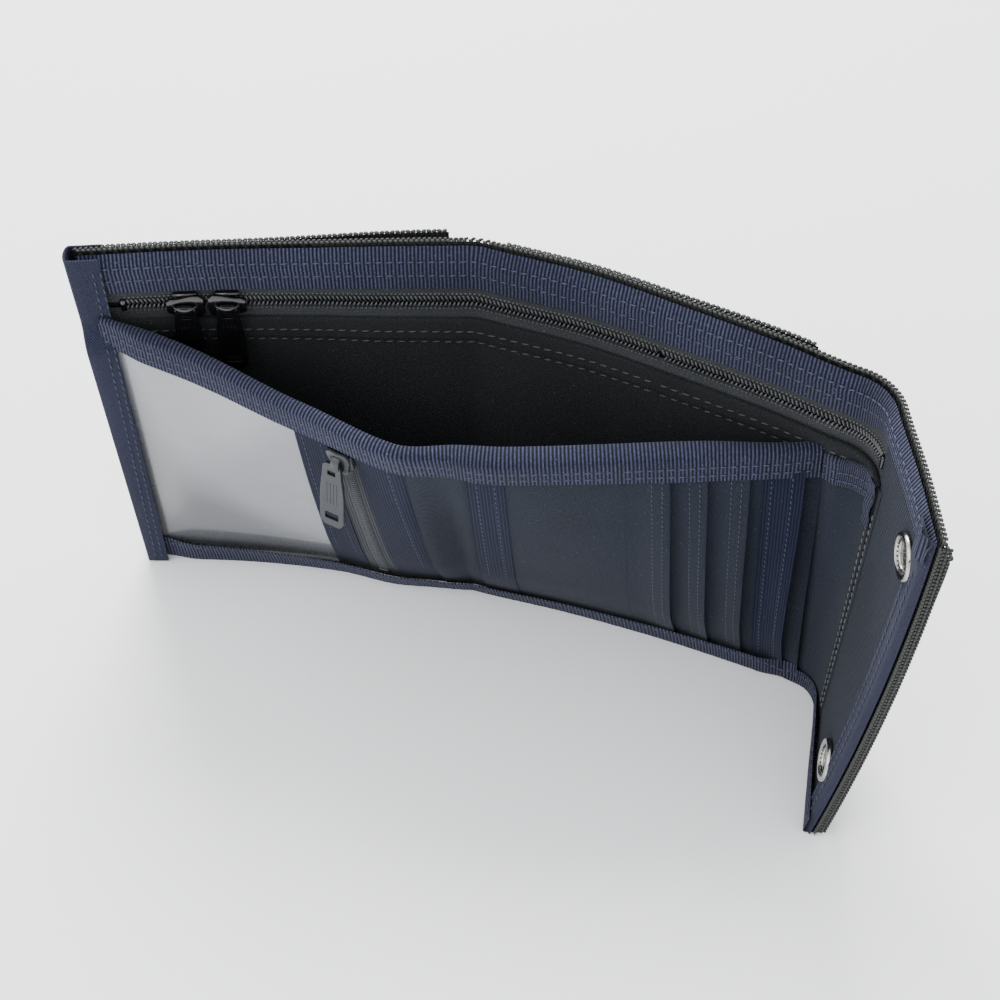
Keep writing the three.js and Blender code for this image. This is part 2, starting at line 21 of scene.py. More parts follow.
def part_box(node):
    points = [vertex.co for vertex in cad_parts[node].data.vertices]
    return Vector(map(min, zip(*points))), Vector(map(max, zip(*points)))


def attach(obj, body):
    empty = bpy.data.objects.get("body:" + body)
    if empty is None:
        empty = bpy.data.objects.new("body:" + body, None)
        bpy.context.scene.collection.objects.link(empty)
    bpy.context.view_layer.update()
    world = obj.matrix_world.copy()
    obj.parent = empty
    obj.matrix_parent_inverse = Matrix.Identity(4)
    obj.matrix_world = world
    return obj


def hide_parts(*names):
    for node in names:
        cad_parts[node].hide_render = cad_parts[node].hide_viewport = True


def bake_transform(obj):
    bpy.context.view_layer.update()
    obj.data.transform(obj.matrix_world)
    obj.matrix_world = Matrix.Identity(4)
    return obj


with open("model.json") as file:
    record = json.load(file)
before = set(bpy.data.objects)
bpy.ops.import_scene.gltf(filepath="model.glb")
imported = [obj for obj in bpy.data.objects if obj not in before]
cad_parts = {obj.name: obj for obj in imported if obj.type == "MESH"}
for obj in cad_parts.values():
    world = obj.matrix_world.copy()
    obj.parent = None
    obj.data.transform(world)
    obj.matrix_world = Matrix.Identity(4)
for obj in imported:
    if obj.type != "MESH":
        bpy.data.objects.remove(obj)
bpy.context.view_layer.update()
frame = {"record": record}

log = logging.getLogger("wallet")

MM = 0.001
SHARP_RIM = math.radians(60)
FOLD_CROWN = 1.1
FLAP_BOW = 2.2  # how far the free flap bows outwards between its corners
STITCH_SLANT = 0.12
STITCH_SHARE = 0.78  # how much of a stitch's pitch its thread takes
TAPE_STITCH = (2.0, 0.42, 0.42)  # the long stitches through the bindings
TAPE_PITCH = 2.5
YARN_PITCH = 1.25  # of the plaited woven edges
HEIGHT = 120.0
FRONT_HEIGHT = 94.6
LEFT_LENGTH = 93.6
MIDDLE_LENGTH = 93.2
FLAP_LENGTH = 38.6
BEND_1 = math.radians(24)
BEND_2 = math.radians(66)
FOLD_1_RADIUS = 9.3
FOLD_2_RADIUS = 13.1

Surface = Callable[[float, float, float], Vector]
Spot = tuple[Vector, Vector, Vector]


def joint_place(name: str) -> Vector:
    """Where a joint's axis stands, from the frame.

    Args:
        name: the joint's name.

    Returns:
        The point, in millimetres.
    """
    row = next(j for j in frame["record"]["behaviour"]["joints"] if j["name"] == name)
    return Vector(row["pos_m"]) / MM


def smoothstep(value: float, low: float, high: float) -> float:
    """How far value has gone from low to high, from 0 to 1 with soft ends."""
    t = min(max((value - low) / (high - low), 0.0), 1.0)
    return t * t * (3 - 2 * t)


class SmoothLine:
    """A smooth curve of numbers or points through knots."""

    def __init__(self, knots: Sequence[float], values: Sequence) -> None:
        """Keep the knots and the values at them."""
        self.knots = list(knots)
        self.values = list(values)

    def slope(self, i: int):
        """The curve's slope at a knot."""
        low, high = max(i - 1, 0), min(i + 1, len(self.knots) - 1)
        return (self.values[high] - self.values[low]) / (self.knots[high] - self.knots[low])

    def at(self, x: float):
        """The curve's value.

        Args:
            x: a place along the knots.

        Returns:
            A number or a vector, held level beyond the ends.
        """
        x = min(max(x, self.knots[0]), self.knots[-1])
        i = min(bisect_right(self.knots, x), len(self.knots) - 1) - 1
        span = self.knots[i + 1] - self.knots[i]
        t = (x - self.knots[i]) / span
        start, end = self.values[i], self.values[i + 1]
        ease = t * t * (3 - 2 * t)
        lift = self.slope(i) * (t * (1 - t) ** 2 * span) - self.slope(i + 1) * (t * t * (1 - t) * span)
        return start * (1 - ease) + end * ease + lift


# ---------------------------------------------------------------------------------------------
# The walls
# ---------------------------------------------------------------------------------------------

FOLD_1 = joint_place("fold_1").to_2d()
FOLD_2 = joint_place("fold_2").to_2d()
FOLD_1_START = LEFT_LENGTH
MIDDLE_START = FOLD_1_START + FOLD_1_RADIUS * BEND_1
FOLD_2_START = MIDDLE_START + MIDDLE_LENGTH
FLAP_START = FOLD_2_START + FOLD_2_RADIUS * BEND_2
FLAP_END = FLAP_START + FLAP_LENGTH
SPLIT = MIDDLE_START + 46.0


@dataclass(frozen=True)
class Bulge:
    """How far the cloth stands outside the flat panel at one place, at its top and at its bottom."""

    along: float
    top: float
    bottom: float


BULGES = (
    Bulge(0, 0, 7),
    Bulge(30, 2.2, 6.2),
    Bulge(56, 3, 3),
    Bulge(72, 3.5, -1.5),
    Bulge(82, 3.7, -2.5),
    Bulge(96, 4, -3.6),
    Bulge(124, 5.7, -0.2),
    Bulge(150, 4, 1.8),
    Bulge(172, 2, 2.3),
    Bulge(185, 0, 2),
    Bulge(192, -0.6, 0.6),
    Bulge(206, -0.2, -0.7),
    Bulge(225, 1.6, -4.4),
    Bulge(244, 2.6, -8),
)
BULGE_TOP = SmoothLine([b.along for b in BULGES], [b.top for b in BULGES])
BULGE_BOTTOM = SmoothLine([b.along for b in BULGES], [b.bottom for b in BULGES])


def unit(angle: float) -> Vector:
    """The flat direction at an angle from +X."""
    return Vector((math.cos(angle), math.sin(angle)))


def course(along: float) -> tuple[Vector, Vector]:
    """The plan of the flat back wall.

    Args:
        along: place along the wall from the left end.

    Returns:
        The point and the inward direction there.
    """
    if along < FOLD_1_START:
        outward = unit(math.pi / 2 + BEND_1)
        return FOLD_1 + outward * FOLD_1_RADIUS - unit(BEND_1) * (FOLD_1_START - along), -outward
    if along < MIDDLE_START:
        outward = unit(math.pi / 2 + BEND_1 - (along - FOLD_1_START) / FOLD_1_RADIUS)
        return FOLD_1 + outward * FOLD_1_RADIUS, -outward
    if along < FOLD_2_START:
        outward = unit(math.pi / 2)
        return FOLD_1 + outward * FOLD_1_RADIUS + unit(0) * (along - MIDDLE_START), -outward
    if along < FLAP_START:
        outward = unit(math.pi / 2 - (along - FOLD_2_START) / FOLD_2_RADIUS)
        return FOLD_2 + outward * FOLD_2_RADIUS, -outward
    outward = unit(math.pi / 2 - BEND_2)
    return FOLD_2 + outward * FOLD_2_RADIUS + unit(-BEND_2) * (along - FLAP_START), -outward


def back_wall(along: float, up: float, depth: float) -> Vector:
    """A point on the soft back wall, at a depth inwards from the middle of the shell."""
    point, inward = course(along)
    share = up / HEIGHT
    out = BULGE_BOTTOM.at(along) + (BULGE_TOP.at(along) - BULGE_BOTTOM.at(along)) * share
    out += FLAP_BOW * smoothstep(along, FLAP_START - 6, FLAP_END) * 4 * share * (1 - share)
    place = point + inward * (depth - out)
    return Vector((place.x, place.y, up))


@dataclass(frozen=True)
class Reach:
    """How far the front wall's top stands inwards of the flat back wall at one place."""

    along: float
    inwards: float


FRONT_REACHES = (
    Reach(4, 2.6),
    Reach(28.6, 11.5),
    Reach(53.6, 24.6),
    Reach(76.6, 37),
    Reach(MIDDLE_START + 9.1, 36.1),
    Reach(MIDDLE_START + 20.3, 32.2),
    Reach(MIDDLE_START + 40.6, 23.2),
    Reach(MIDDLE_START + 61.9, 13.2),
    Reach(MIDDLE_START + 78.0, 6.9),
    Reach(MIDDLE_START + 88.5, 1.8),
)


@dataclass(frozen=True)
class Foot:
    """The place of the back wall that the front wall's foot stands at, below one place along its top."""

    along: float
    over: float


FEET = (
    Foot(4, 4),
    Foot(95, 95.6),
    Foot(112, 114),
    Foot(130, 135),
    Foot(149, 157),
    Foot(158, 166.4),
    Foot(168, 175.3),
    Foot(180, 186.6),
    Foot(186, 192.5),
)
FRONT_FEET = SmoothLine([f.along for f in FEET], [f.over for f in FEET])


class FrontWall:
    """The soft front wall, from the left end to fold 2, with a front fold near fold 1."""

    FOOT_DEPTH = 4.0
    STEPS = 600
    SAG = 4.6  # how much lower the wall stands where it leans SAG_LEAN
    SAG_LEAN = 37.0
    BELLY = 1.4
    END_RISE = 6.5  # how much higher it stands at the left end
    END_RISE_REACH = 58.0
    PRESSED = 0.35  # the layers' share of their depth where the bottom binding grips them
    PRESSED_REACH = 26.0

    def __init__(self) -> None:
        """Lay out the wall's top and foot at even steps along its top."""
        tops = []
        for reach in FRONT_REACHES:
            point, inward = course(reach.along)
            tops.append(point + inward * reach.inwards)
        rough = [0.0]
        for before, after in zip(tops, tops[1:]):
            rough.append(rough[-1] + (after - before).length)
        line = SmoothLine(rough, tops)
        fine = [line.at(rough[-1] * i / self.STEPS) for i in range(self.STEPS + 1)]
        self.marks = [FRONT_REACHES[0].along]
        for before, after in zip(fine, fine[1:]):
            self.marks.append(self.marks[-1] + (after - before).length)
        self.start, self.end = self.marks[0], self.marks[-1]
        self.tops = fine
        self.feet = []
        for mark in self.marks:
            foot = back_wall(FRONT_FEET.at(mark), 0, self.FOOT_DEPTH)
            self.feet.append(foot.to_2d())

    def between(self, points: list[Vector], along: float) -> Vector:
        """A point of the top or the foot at a place along the wall."""
        i = min(max(bisect_right(self.marks, along), 1), len(self.marks) - 1)
        t = (along - self.marks[i - 1]) / (self.marks[i] - self.marks[i - 1])
        return points[i - 1].lerp(points[i], t)

    def bare(self, along: float, up: float) -> Vector:
        """A point on the wall's backing cloth."""
        top, foot = self.between(self.tops, along), self.between(self.feet, along)
        lean = (top - foot).length
        share = up / FRONT_HEIGHT
        rise = self.END_RISE * (1 - smoothstep(along, self.start - 8, self.END_RISE_REACH))
        level = up * (1 + (rise - self.SAG * min(lean / self.SAG_LEAN, 1.2) ** 2) / FRONT_HEIGHT)
        place = foot.lerp(top, share)
        return Vector((place.x, place.y, level))

    def __call__(self, along: float, up: float, depth: float) -> Vector:
        """A point on the wall, at a depth outwards from its backing cloth."""
        here = self.bare(along, up)
        run = self.bare(along + 0.6, up) - self.bare(along - 0.6, up)
        rise = self.bare(along, up + 1) - self.bare(along, up - 1)
        facing = run.cross(rise).normalized()
        belly = self.BELLY * math.sin(math.pi * min(max(up / FRONT_HEIGHT, 0), 1)) * smoothstep(along, 4, 24)
        pressed = self.PRESSED + (1 - self.PRESSED) * smoothstep(up, 3, self.PRESSED_REACH)
        pressed *= 0.5 + 0.5 * smoothstep(along, 6, 16)
        return here + facing * (depth * pressed + belly)

    def place_of(self, along_middle: float) -> float:
        """The place along the wall's top that stands over a distance along the middle panel."""
        wanted = FOLD_1.x + along_middle
        i = next(i for i, top in enumerate(self.tops) if top.x >= wanted and self.marks[i] > LEFT_LENGTH)
        return self.marks[i]


front_wall = FrontWall()
FRONT_FOLD = front_wall.place_of(11)
CARD_SPLIT = front_wall.place_of(45)
BACKING_TOP = 93.0


class Hold(Enum):
    """The two bodies a soft piece joins, and where it turns from one to the other."""

    SPINE = ("left_panel", "middle_panel", FOLD_1_START - 10, MIDDLE_START + 10)
    CORNER = ("middle_panel", "flap", FOLD_2_START - 5, FLAP_START + 5)
    FRONT = ("left_panel", "left_front", 6.0, 70.0)
    CARDS = ("middle_panel", "card_wall", MIDDLE_START + 93, MIDDLE_START + 45)
    WEB = ("card_wall", "fold_web", MIDDLE_START + 45, MIDDLE_START + 15)

    def fasten(self, piece: bpy.types.Object) -> None:
        """Bake the piece's transform into its mesh."""
        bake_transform(piece)


# ---------------------------------------------------------------------------------------------
# Finishes
# ---------------------------------------------------------------------------------------------

Colour = tuple[float, float, float]


class Weave(Enum):
    """The cloths' weaves."""

    RIBS_ACROSS = "ribs across"
    RIBS_ALONG = "ribs along"
    BASKET = "basket"
    TWILL = "twill"


class Nodes:
    """A small writer of shader nodes in one tree."""

    def __init__(self, tree: bpy.types.NodeTree) -> None:
        """Keep the tree that nodes go into."""
        self.tree = tree

    def add(self, kind: str, inputs: dict | None = None, **settings) -> bpy.types.Node:
        """Add a node.

        Args:
            kind: the node's type.
            inputs: values or sockets for its inputs, by name or number.
            settings: the node's own settings.

        Returns:
            The node.
        """
        node = self.tree.nodes.new(kind)
        for name, value in settings.items():
            setattr(node, name, value)
        self.feed(node, inputs or {})
        return node

    def feed(self, node: bpy.types.Node, inputs: dict) -> None:
        """Give a node's inputs their values or the sockets that feed them."""
        for key, value in inputs.items():
            if isinstance(value, bpy.types.NodeSocket):
                self.tree.links.new(value, node.inputs[key])
            else:
                node.inputs[key].default_value = value

    def math(self, operation: str, first, second=0.0, third=0.0) -> bpy.types.NodeSocket:
        """The result of a Math node."""
        return self.add("ShaderNodeMath", {0: first, 1: second, 2: third}, operation=operation).outputs[0]

    def mix(self, share, first, second) -> bpy.types.NodeSocket:
        """Two colours mixed."""
        return self.add("ShaderNodeMix", {0: share, 6: first, 7: second}, data_type="RGBA").outputs[2]

    def noise(self, place: bpy.types.NodeSocket, scale, detail: float, **more) -> bpy.types.NodeSocket:
        """The value of a Noise Texture."""
        inputs = {"Vector": place, "Scale": scale, "Detail": detail, **more}
        return self.add("ShaderNodeTexNoise", inputs).outputs[0]

    def bump(self, strength: float, distance: float, height: bpy.types.NodeSocket) -> bpy.types.NodeSocket:
        """A normal bumped by a height."""
        inputs = {"Strength": strength, "Distance": distance, "Height": height}
        return self.add("ShaderNodeBump", inputs).outputs[0]


def start_material(name: str) -> tuple[bpy.types.Material, Nodes, bpy.types.Node]:
    """Start a material.

    Args:
        name: its name.

    Returns:
        The material, a writer for its nodes, and its shader.
    """
    material = bpy.data.materials.new(name)
    material.use_nodes = True
    return material, Nodes(material.node_tree), material.node_tree.nodes["Principled BSDF"]


def new_group(name: str, inputs: dict[str, float],
              outputs: Sequence[str]) -> tuple[bpy.types.NodeTree, Nodes]:
    """Start a shader group that reads a Place vector and numbers, and puts out values.

    Args:
        name: the group's name.
        inputs: its number inputs and their defaults.
        outputs: its value outputs.

    Returns:
        The group and a writer for it.
    """
    group = bpy.data.node_groups.new(name, "ShaderNodeTree")
    group.interface.new_socket(name="Place", in_out="INPUT", socket_type="NodeSocketVector")
    for key, value in inputs.items():
        socket = group.interface.new_socket(name=key, in_out="INPUT", socket_type="NodeSocketFloat")
        socket.default_value = value
    for key in outputs:
        group.interface.new_socket(name=key, in_out="OUTPUT", socket_type="NodeSocketFloat")
    return group, Nodes(group)


def ribs_group() -> bpy.types.NodeTree:
    """Ribs that run across or along a tape, broken by a slight waver in the yarns."""
    group, nodes = new_group("Ribs", {"Across": 1800.0, "Along": 0.0, "Waver": 0.00008}, ("Height", "Yarn"))
    source = nodes.add("NodeGroupInput")
    waver = nodes.noise(source.outputs["Place"], 420.0, 2.0)
    shift = nodes.math("MULTIPLY", nodes.math("SUBTRACT", waver, 0.5), source.outputs["Waver"])
    split = nodes.add("ShaderNodeSeparateXYZ", {0: source.outputs["Place"]})
    x = nodes.math("ADD", split.outputs[0], shift)
    y = nodes.math("ADD", split.outputs[1], shift)
    wave = nodes.math("ADD", nodes.math("MULTIPLY", x, source.outputs["Across"]),
                      nodes.math("MULTIPLY", y, source.outputs["Along"]))
    height = nodes.math("MULTIPLY_ADD", nodes.math("SINE", nodes.math("MULTIPLY", wave, math.tau)), 0.5, 0.5)
    yarn = nodes.noise(source.outputs["Place"], 1500.0, 3.0)
    nodes.add("NodeGroupOutput", {"Height": height, "Yarn": yarn})
    return group


def basket_group() -> bpy.types.NodeTree:
    """Thick yarns that pass over and under each other."""
    group, nodes = new_group("Basket", {"Yarns": 700.0}, ("Height", "Yarn"))
    source = nodes.add("NodeGroupInput")
    split = nodes.add("ShaderNodeSeparateXYZ", {0: source.outputs["Place"]})
    sines = []
    for socket in split.outputs[:2]:
        turn = nodes.math("MULTIPLY", nodes.math("MULTIPLY", socket, source.outputs["Yarns"]), math.pi)
        sines.append(nodes.math("SINE", turn))
    over = nodes.math("MULTIPLY", sines[0], sines[1])
    side = nodes.math("GREATER_THAN", over, 0.0)
    first = nodes.math("ABSOLUTE", sines[0])
    second = nodes.math("ABSOLUTE", sines[1])
    gap = nodes.math("SUBTRACT", second, first)
    height = nodes.math("MULTIPLY_ADD", side, gap, first)
    yarn = nodes.noise(source.outputs["Place"], 1900.0, 4.0)
    nodes.add("NodeGroupOutput", {"Height": height, "Yarn": yarn})
    return group


def wear_group() -> bpy.types.NodeTree:
    """Broad fading and a little pale lint."""
    group, nodes = new_group("Wear", {"Fade": 22.0, "Lint": 0.72}, ("Fade", "Lint"))
    source = nodes.add("NodeGroupInput")
    broad = nodes.noise(source.outputs["Place"], source.outputs["Fade"], 3.0)
    fine = nodes.noise(source.outputs["Place"], 900.0, 1.0)
    lint = nodes.math("GREATER_THAN", fine, source.outputs["Lint"])
    nodes.add("NodeGroupOutput", {"Fade": broad, "Lint": lint})
    return group


class Effects:
    """The shader groups that the finishes share."""

    def __init__(self) -> None:
        """Build each group once."""
        self.ribs = ribs_group()
        self.basket = basket_group()
        self.wear = wear_group()


effects = Effects()


@dataclass(frozen=True)
class Cloth:
    """A woven finish: a dark colour painted as shade into the hollows of its weave and a light one painted as
    highlight on its raised yarns, its weave and how fine it is.
    """

    name: str
    slot: str
    low: Colour
    high: Colour
    weave: Weave
    per_metre: float
    relief: float
    sheen: float
    roughness: float = 0.85

    def build(self) -> bpy.types.Material:
        """Make the material.

        Returns:
            The material.
        """
        material, nodes, shader = start_material(self.name)
        place = nodes.add("ShaderNodeUVMap").outputs[0]
        if self.weave is Weave.BASKET:
            yarns = nodes.add("ShaderNodeGroup", node_tree=effects.basket)
            nodes.feed(yarns, {"Place": place, "Yarns": self.per_metre})
        else:
            across = 0.0 if self.weave is Weave.RIBS_ALONG else self.per_metre
            along = 0.0 if self.weave is Weave.RIBS_ACROSS else self.per_metre
            yarns = nodes.add("ShaderNodeGroup", node_tree=effects.ribs)
            nodes.feed(yarns, {"Place": place, "Across": across, "Along": along})
        wear = nodes.add("ShaderNodeGroup", node_tree=effects.wear)
        nodes.feed(wear, {"Place": place, "Fade": 22.0, "Lint": 0.74})
        # Painted shade and highlight: the weave's height darkens the colour in its hollows and lightens it on
        # its ridges, and the yarn noise and the broad fade add tone that differs at random.
        light = nodes.math("MULTIPLY", yarns.outputs["Height"], yarns.outputs["Yarn"])
        light = nodes.math("MULTIPLY", light, nodes.math("MULTIPLY_ADD", wear.outputs["Fade"], 1.6, 0.5))
        colour = nodes.mix(light, (*self.low, 1.0), (*self.high, 1.0))
        lint = tuple(min(c * 1.5 + 0.05, 1.0) for c in self.high)
        colour = nodes.mix(nodes.math("MULTIPLY", wear.outputs["Lint"], 0.3), colour, (*lint, 1.0))
        nodes.feed(shader, {
            "Base Color": colour,
            "Normal": nodes.bump(self.relief, 0.0005, yarns.outputs["Height"]),
            "Roughness": self.roughness,
            "Sheen Weight": self.sheen,
            "Sheen Roughness": 0.5,
            "Specular IOR Level": 0.05,
        })
        return material


@dataclass(frozen=True)
class Metal:
    """A metal or gloss finish with fine brushed wear."""

    name: str
    slot: str
    low: Colour
    high: Colour
    metallic: float
    roughness: float
    coat: float = 0.0

    def build(self) -> bpy.types.Material:
        """Make the material.

        Returns:
            The material.
        """
        material, nodes, shader = start_material(self.name)
        place = nodes.add("ShaderNodeTexCoord").outputs["Object"]
        wear = nodes.add("ShaderNodeGroup", node_tree=effects.wear)
        nodes.feed(wear, {"Place": place, "Fade": 160.0, "Lint": 0.78})
        nodes.feed(shader, {
            "Base Color": nodes.mix(wear.outputs["Fade"], (*self.low, 1.0), (*self.high, 1.0)),
            "Roughness": nodes.math("MULTIPLY_ADD", wear.outputs["Fade"], 0.16, self.roughness - 0.08),
            "Normal": nodes.bump(0.08, 0.0002, nodes.noise(place, 2600.0, 2.0)),
            "Metallic": self.metallic,
            "Coat Weight": self.coat,
        })
        return material


@dataclass(frozen=True)
class ClearSheet:
    """Frosted clear plastic, with a soft reflection painted into its colour: darker towards its left end and
    its foot.
    """

    name: str
    slot: str
    tint: Colour
    alpha: float
    corner: float = 0.007  # how far beyond its end the dark corner of its painted reflection lies, in metres
    shade: tuple[float, float] = (0.00055, 0.00165)  # where its painted reflection turns from painted shade to light, in square metres

    def build(self) -> bpy.types.Material:
        """Make the material.

        Returns:
            The material.
        """
        material, nodes, shader = start_material(self.name)
        place = nodes.add("ShaderNodeUVMap").outputs[0]
        haze_and_reflection_noise = nodes.noise(place, 16.0, 2.0, Distortion=0.6)
        split = nodes.add("ShaderNodeSeparateXYZ", {0: place})
        # Painted reflection: height times place along, wavered by the noise, turns the colour from a painted
        # shade tint at the left end and foot to the full tint.
        painted_reflection_reach = nodes.math("MULTIPLY", split.outputs[1], nodes.math("ADD", split.outputs[0], self.corner))
        painted_reflection_reach = nodes.math("MULTIPLY", painted_reflection_reach, nodes.math("MULTIPLY_ADD", haze_and_reflection_noise, 0.8, 0.6))
        painted_reflection = nodes.add("ShaderNodeMapRange", {0: painted_reflection_reach, 1: self.shade[0], 2: self.shade[1]},
                         interpolation_type="SMOOTHSTEP")
        painted_shade_tint = tuple(c * 0.45 for c in self.tint)
        nodes.feed(shader, {
            "Base Color": nodes.mix(painted_reflection.outputs[0], (*painted_shade_tint, 1.0), (*self.tint, 1.0)),
            "Roughness": nodes.math("MULTIPLY_ADD", haze_and_reflection_noise, 0.3, 0.12),
            "Normal": nodes.bump(0.05, 0.0004, nodes.noise(place, 700.0, 2.0)),
            "Alpha": self.alpha,
            "Coat Weight": 0.5,
        })
        return material


# In each Cloth below, the first colour is painted shade for the weave's hollows and the second is painted
# highlight for its ridges.
NAVY = Cloth("Navy ribbon", "navy_tape", (0.004, 0.0048, 0.01), (0.076, 0.083, 0.15),
             Weave.RIBS_ACROSS, 1080.0, 0.9, 0.06)
NAVY_TWILL = Cloth("Navy twill tape", "navy_tape", (0.0058, 0.0068, 0.0145), (0.038, 0.042, 0.08),
                   Weave.TWILL, 1500.0, 0.35, 0.06)
NAVY_STRIP = Cloth("Navy herringbone strip", "navy_tape", (0.0042, 0.0055, 0.0125), (0.0175, 0.0215, 0.047),
                   Weave.RIBS_ACROSS, 1250.0, 0.25, 0.05)
SHELL = Cloth("Dark basket weave", "woven_shell", (0.0025, 0.0028, 0.0026), (0.034, 0.0365, 0.0325),
              Weave.BASKET, 720.0, 0.9, 0.05)
LINING = Cloth("Dark lining twill", "lining_cloth", (0.0045, 0.005, 0.005), (0.033, 0.036, 0.039),
               Weave.TWILL, 1250.0, 0.3, 0.04)
RIBBED = Cloth("Charcoal ribbed cloth", "ribbed_cloth", (0.0065, 0.008, 0.0128), (0.031, 0.0375, 0.0565),
               Weave.TWILL, 1250.0, 0.3, 0.05)
FLAP_CLOTH = Cloth("Charcoal ribbed lining", "lining_cloth", (0.007, 0.0085, 0.013), (0.034, 0.0405, 0.06),
                   Weave.RIBS_ALONG, 1000.0, 0.45, 0.05)
TAPE = Cloth("Charcoal zip tape", "zip_tape", (0.009, 0.0098, 0.0105), (0.062, 0.066, 0.072),
             Weave.BASKET, 2100.0, 0.3, 0.075)
COIN_TAPE = Cloth("Grey zip tape", "coin_zip_tape", (0.012, 0.013, 0.016), (0.07, 0.075, 0.09),
                  Weave.RIBS_ACROSS, 1300.0, 0.4, 0.075)
GREY_RIB = Cloth("Grey reversed coil", "zip_coil", (0.02, 0.022, 0.025), (0.1, 0.106, 0.118),
                 Weave.RIBS_ALONG, 950.0, 0.5, 0.05, 0.55)
COIL = Metal("Dark nylon coil", "zip_coil", (0.014, 0.015, 0.016), (0.045, 0.047, 0.05), 0.0, 0.3, 0.3)
BLACK = Metal("Black gloss enamel", "black_metal", (0.003, 0.003, 0.0035), (0.007, 0.007, 0.008),
              0.3, 0.16, 0.6)
GUNMETAL = Metal("Gunmetal", "gunmetal", (0.035, 0.037, 0.041), (0.065, 0.068, 0.074), 0.75, 0.4)
NICKEL = Metal("Polished nickel", "nickel", (0.34, 0.33, 0.31), (0.46, 0.45, 0.42), 1.0, 0.2)
NAVY_THREAD = Metal("Navy thread", "navy_tape", (0.018, 0.022, 0.046), (0.042, 0.05, 0.1), 0.0, 0.7)
GREY_THREAD = Metal("Grey thread", "ribbed_cloth", (0.036, 0.04, 0.05), (0.085, 0.092, 0.112), 0.0, 0.7)
LINING_THREAD = Metal("Dull lining thread", "lining_cloth", (0.02, 0.023, 0.027), (0.05, 0.055, 0.065),
                      0.0, 0.7)
TAPE_THREAD = Metal("Charcoal tape thread", "zip_tape", (0.03, 0.032, 0.034), (0.09, 0.095, 0.1), 0.0, 0.6)
DARK_THREAD = Metal("Dark edge yarn", "woven_shell", (0.004, 0.0045, 0.004), (0.02, 0.021, 0.019), 0.0, 0.6)
WINDOW = ClearSheet("Frosted clear sheet", "clear_window", (0.25, 0.26, 0.28), 0.82)

Finish = Cloth | Metal | ClearSheet


class Wardrobe:
    """Builds each finish's material once."""

    made: dict[str, bpy.types.Material] = {}

    @classmethod
    def material(cls, finish: Finish) -> bpy.types.Material:
        """The finish's material."""
        if finish.name not in cls.made:
            cls.made[finish.name] = finish.build()
        return cls.made[finish.name]


# ---------------------------------------------------------------------------------------------
# Making pieces
# ---------------------------------------------------------------------------------------------


def link_mesh(bm: bmesh.types.BMesh, name: str, material: bpy.types.Material) -> bpy.types.Object:
    """Turn a mesh in millimetres into an object in metres.

    Args:
        bm: the mesh, which is freed.
        name: the object's name.
        material: its material.

    Returns:
        The object, in the scene.
    """
    bmesh.ops.scale(bm, vec=(MM, MM, MM), verts=bm.verts)
    mesh = bpy.data.meshes.new(name)
    bm.to_mesh(mesh)
    bm.free()
    mesh.materials.append(material)
    made = bpy.data.objects.new(name, mesh)
    bpy.context.scene.collection.objects.link(made)
    return made


def add_object(bm: bmesh.types.BMesh, name: str, finish: Finish) -> bpy.types.Object:
    """Turn a mesh in millimetres into a smooth piece of a finish, as link_mesh does."""
    for face in bm.faces:
        face.smooth = True
    piece = link_mesh(bm, name, Wardrobe.material(finish))
    log.info("%s: %d faces", name, len(piece.data.polygons))
    return piece


def soften(piece: bpy.types.Object, width: float) -> bpy.types.Object:
    """Round a piece's sharp edges by a width in millimetres."""
    bevel = piece.modifiers.new("Soft edges", "BEVEL")
    bevel.width = width * MM
    bevel.segments = 2
    bevel.limit_method = "ANGLE"
    return piece


def hold(piece: bpy.types.Object, by: Hold | str, nodes: Sequence[str] = ()) -> bpy.types.Object:
    """Fasten a piece to a body, or bake a soft piece's transform into its mesh, and hide the CAD nodes it
    stands for.

    Args:
        piece: the piece.
        by: a soft hold, or a body's name.
        nodes: the CAD nodes.

    Returns:
        The piece.
    """
    if isinstance(by, Hold):
        by.fasten(piece)
    else:
        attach(piece, by)
    if nodes:
        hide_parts(*nodes)
    return piece


@dataclass
class Patch:
    """A rectangle of cloth laid on a wall, given along and up the wall, with its front face at a depth."""

    name: str
    along: tuple[float, float]
    up: tuple[float, float]
    surface: Surface
    finish: Finish
    depth: float
    thickness: float = 0.5
    step: float = 2.0
    relief: Callable[[float, float], float] | None = None
    low_edge: Callable[[float], float] | None = None
    high_edge: Callable[[float], float] | None = None
    cut: tuple[float, float] | None = None  # its flat size, where it isn't its run by its rise

    def build(self) -> bpy.types.Object:
        """Make the cloth.

        Returns:
            The piece.
        """
        width = self.along[1] - self.along[0]
        height = self.up[1] - self.up[0]
        bm = bmesh.new()
        sheet_uv = bm.loops.layers.uv.new("UVMap")
        bmesh.ops.create_grid(bm, x_segments=max(int(width / self.step), 4),
                              y_segments=max(int(height / (self.step * 1.5)), 3), size=0.5)
        for vert in bm.verts:
            along = self.along[0] + (vert.co.x + 0.5) * width
            low = self.low_edge(along) if self.low_edge else self.up[0]
            high = self.high_edge(along) if self.high_edge else self.up[1]
            vert.co = Vector((along, low + (vert.co.y + 0.5) * (high - low), 0))
        for face in bm.faces:
            for loop in face.loops:
                loop[sheet_uv].uv = (loop.vert.co.x * MM, loop.vert.co.y * MM)
        for vert in bm.verts:
            along, up = vert.co.x, vert.co.y
            extra = self.relief(along, up) if self.relief else 0.0
            vert.co = self.surface(along, up, self.depth + extra)
        thicken(bm, self.thickness)
        piece = add_object(bm, self.name, self.finish)
        return piece


def thicken(bm: bmesh.types.BMesh, thickness: float) -> None:
    """Give a sheet its thickness behind its front face, with crisp cut edges."""
    rim = {edge for edge in bm.edges if edge.is_boundary}
    before = set(bm.edges)
    bmesh.ops.solidify(bm, geom=bm.faces[:], thickness=thickness)
    for edge in bm.edges:
        if edge in rim or (edge not in before and edge.calc_face_angle(0) > SHARP_RIM):
            edge.smooth = False


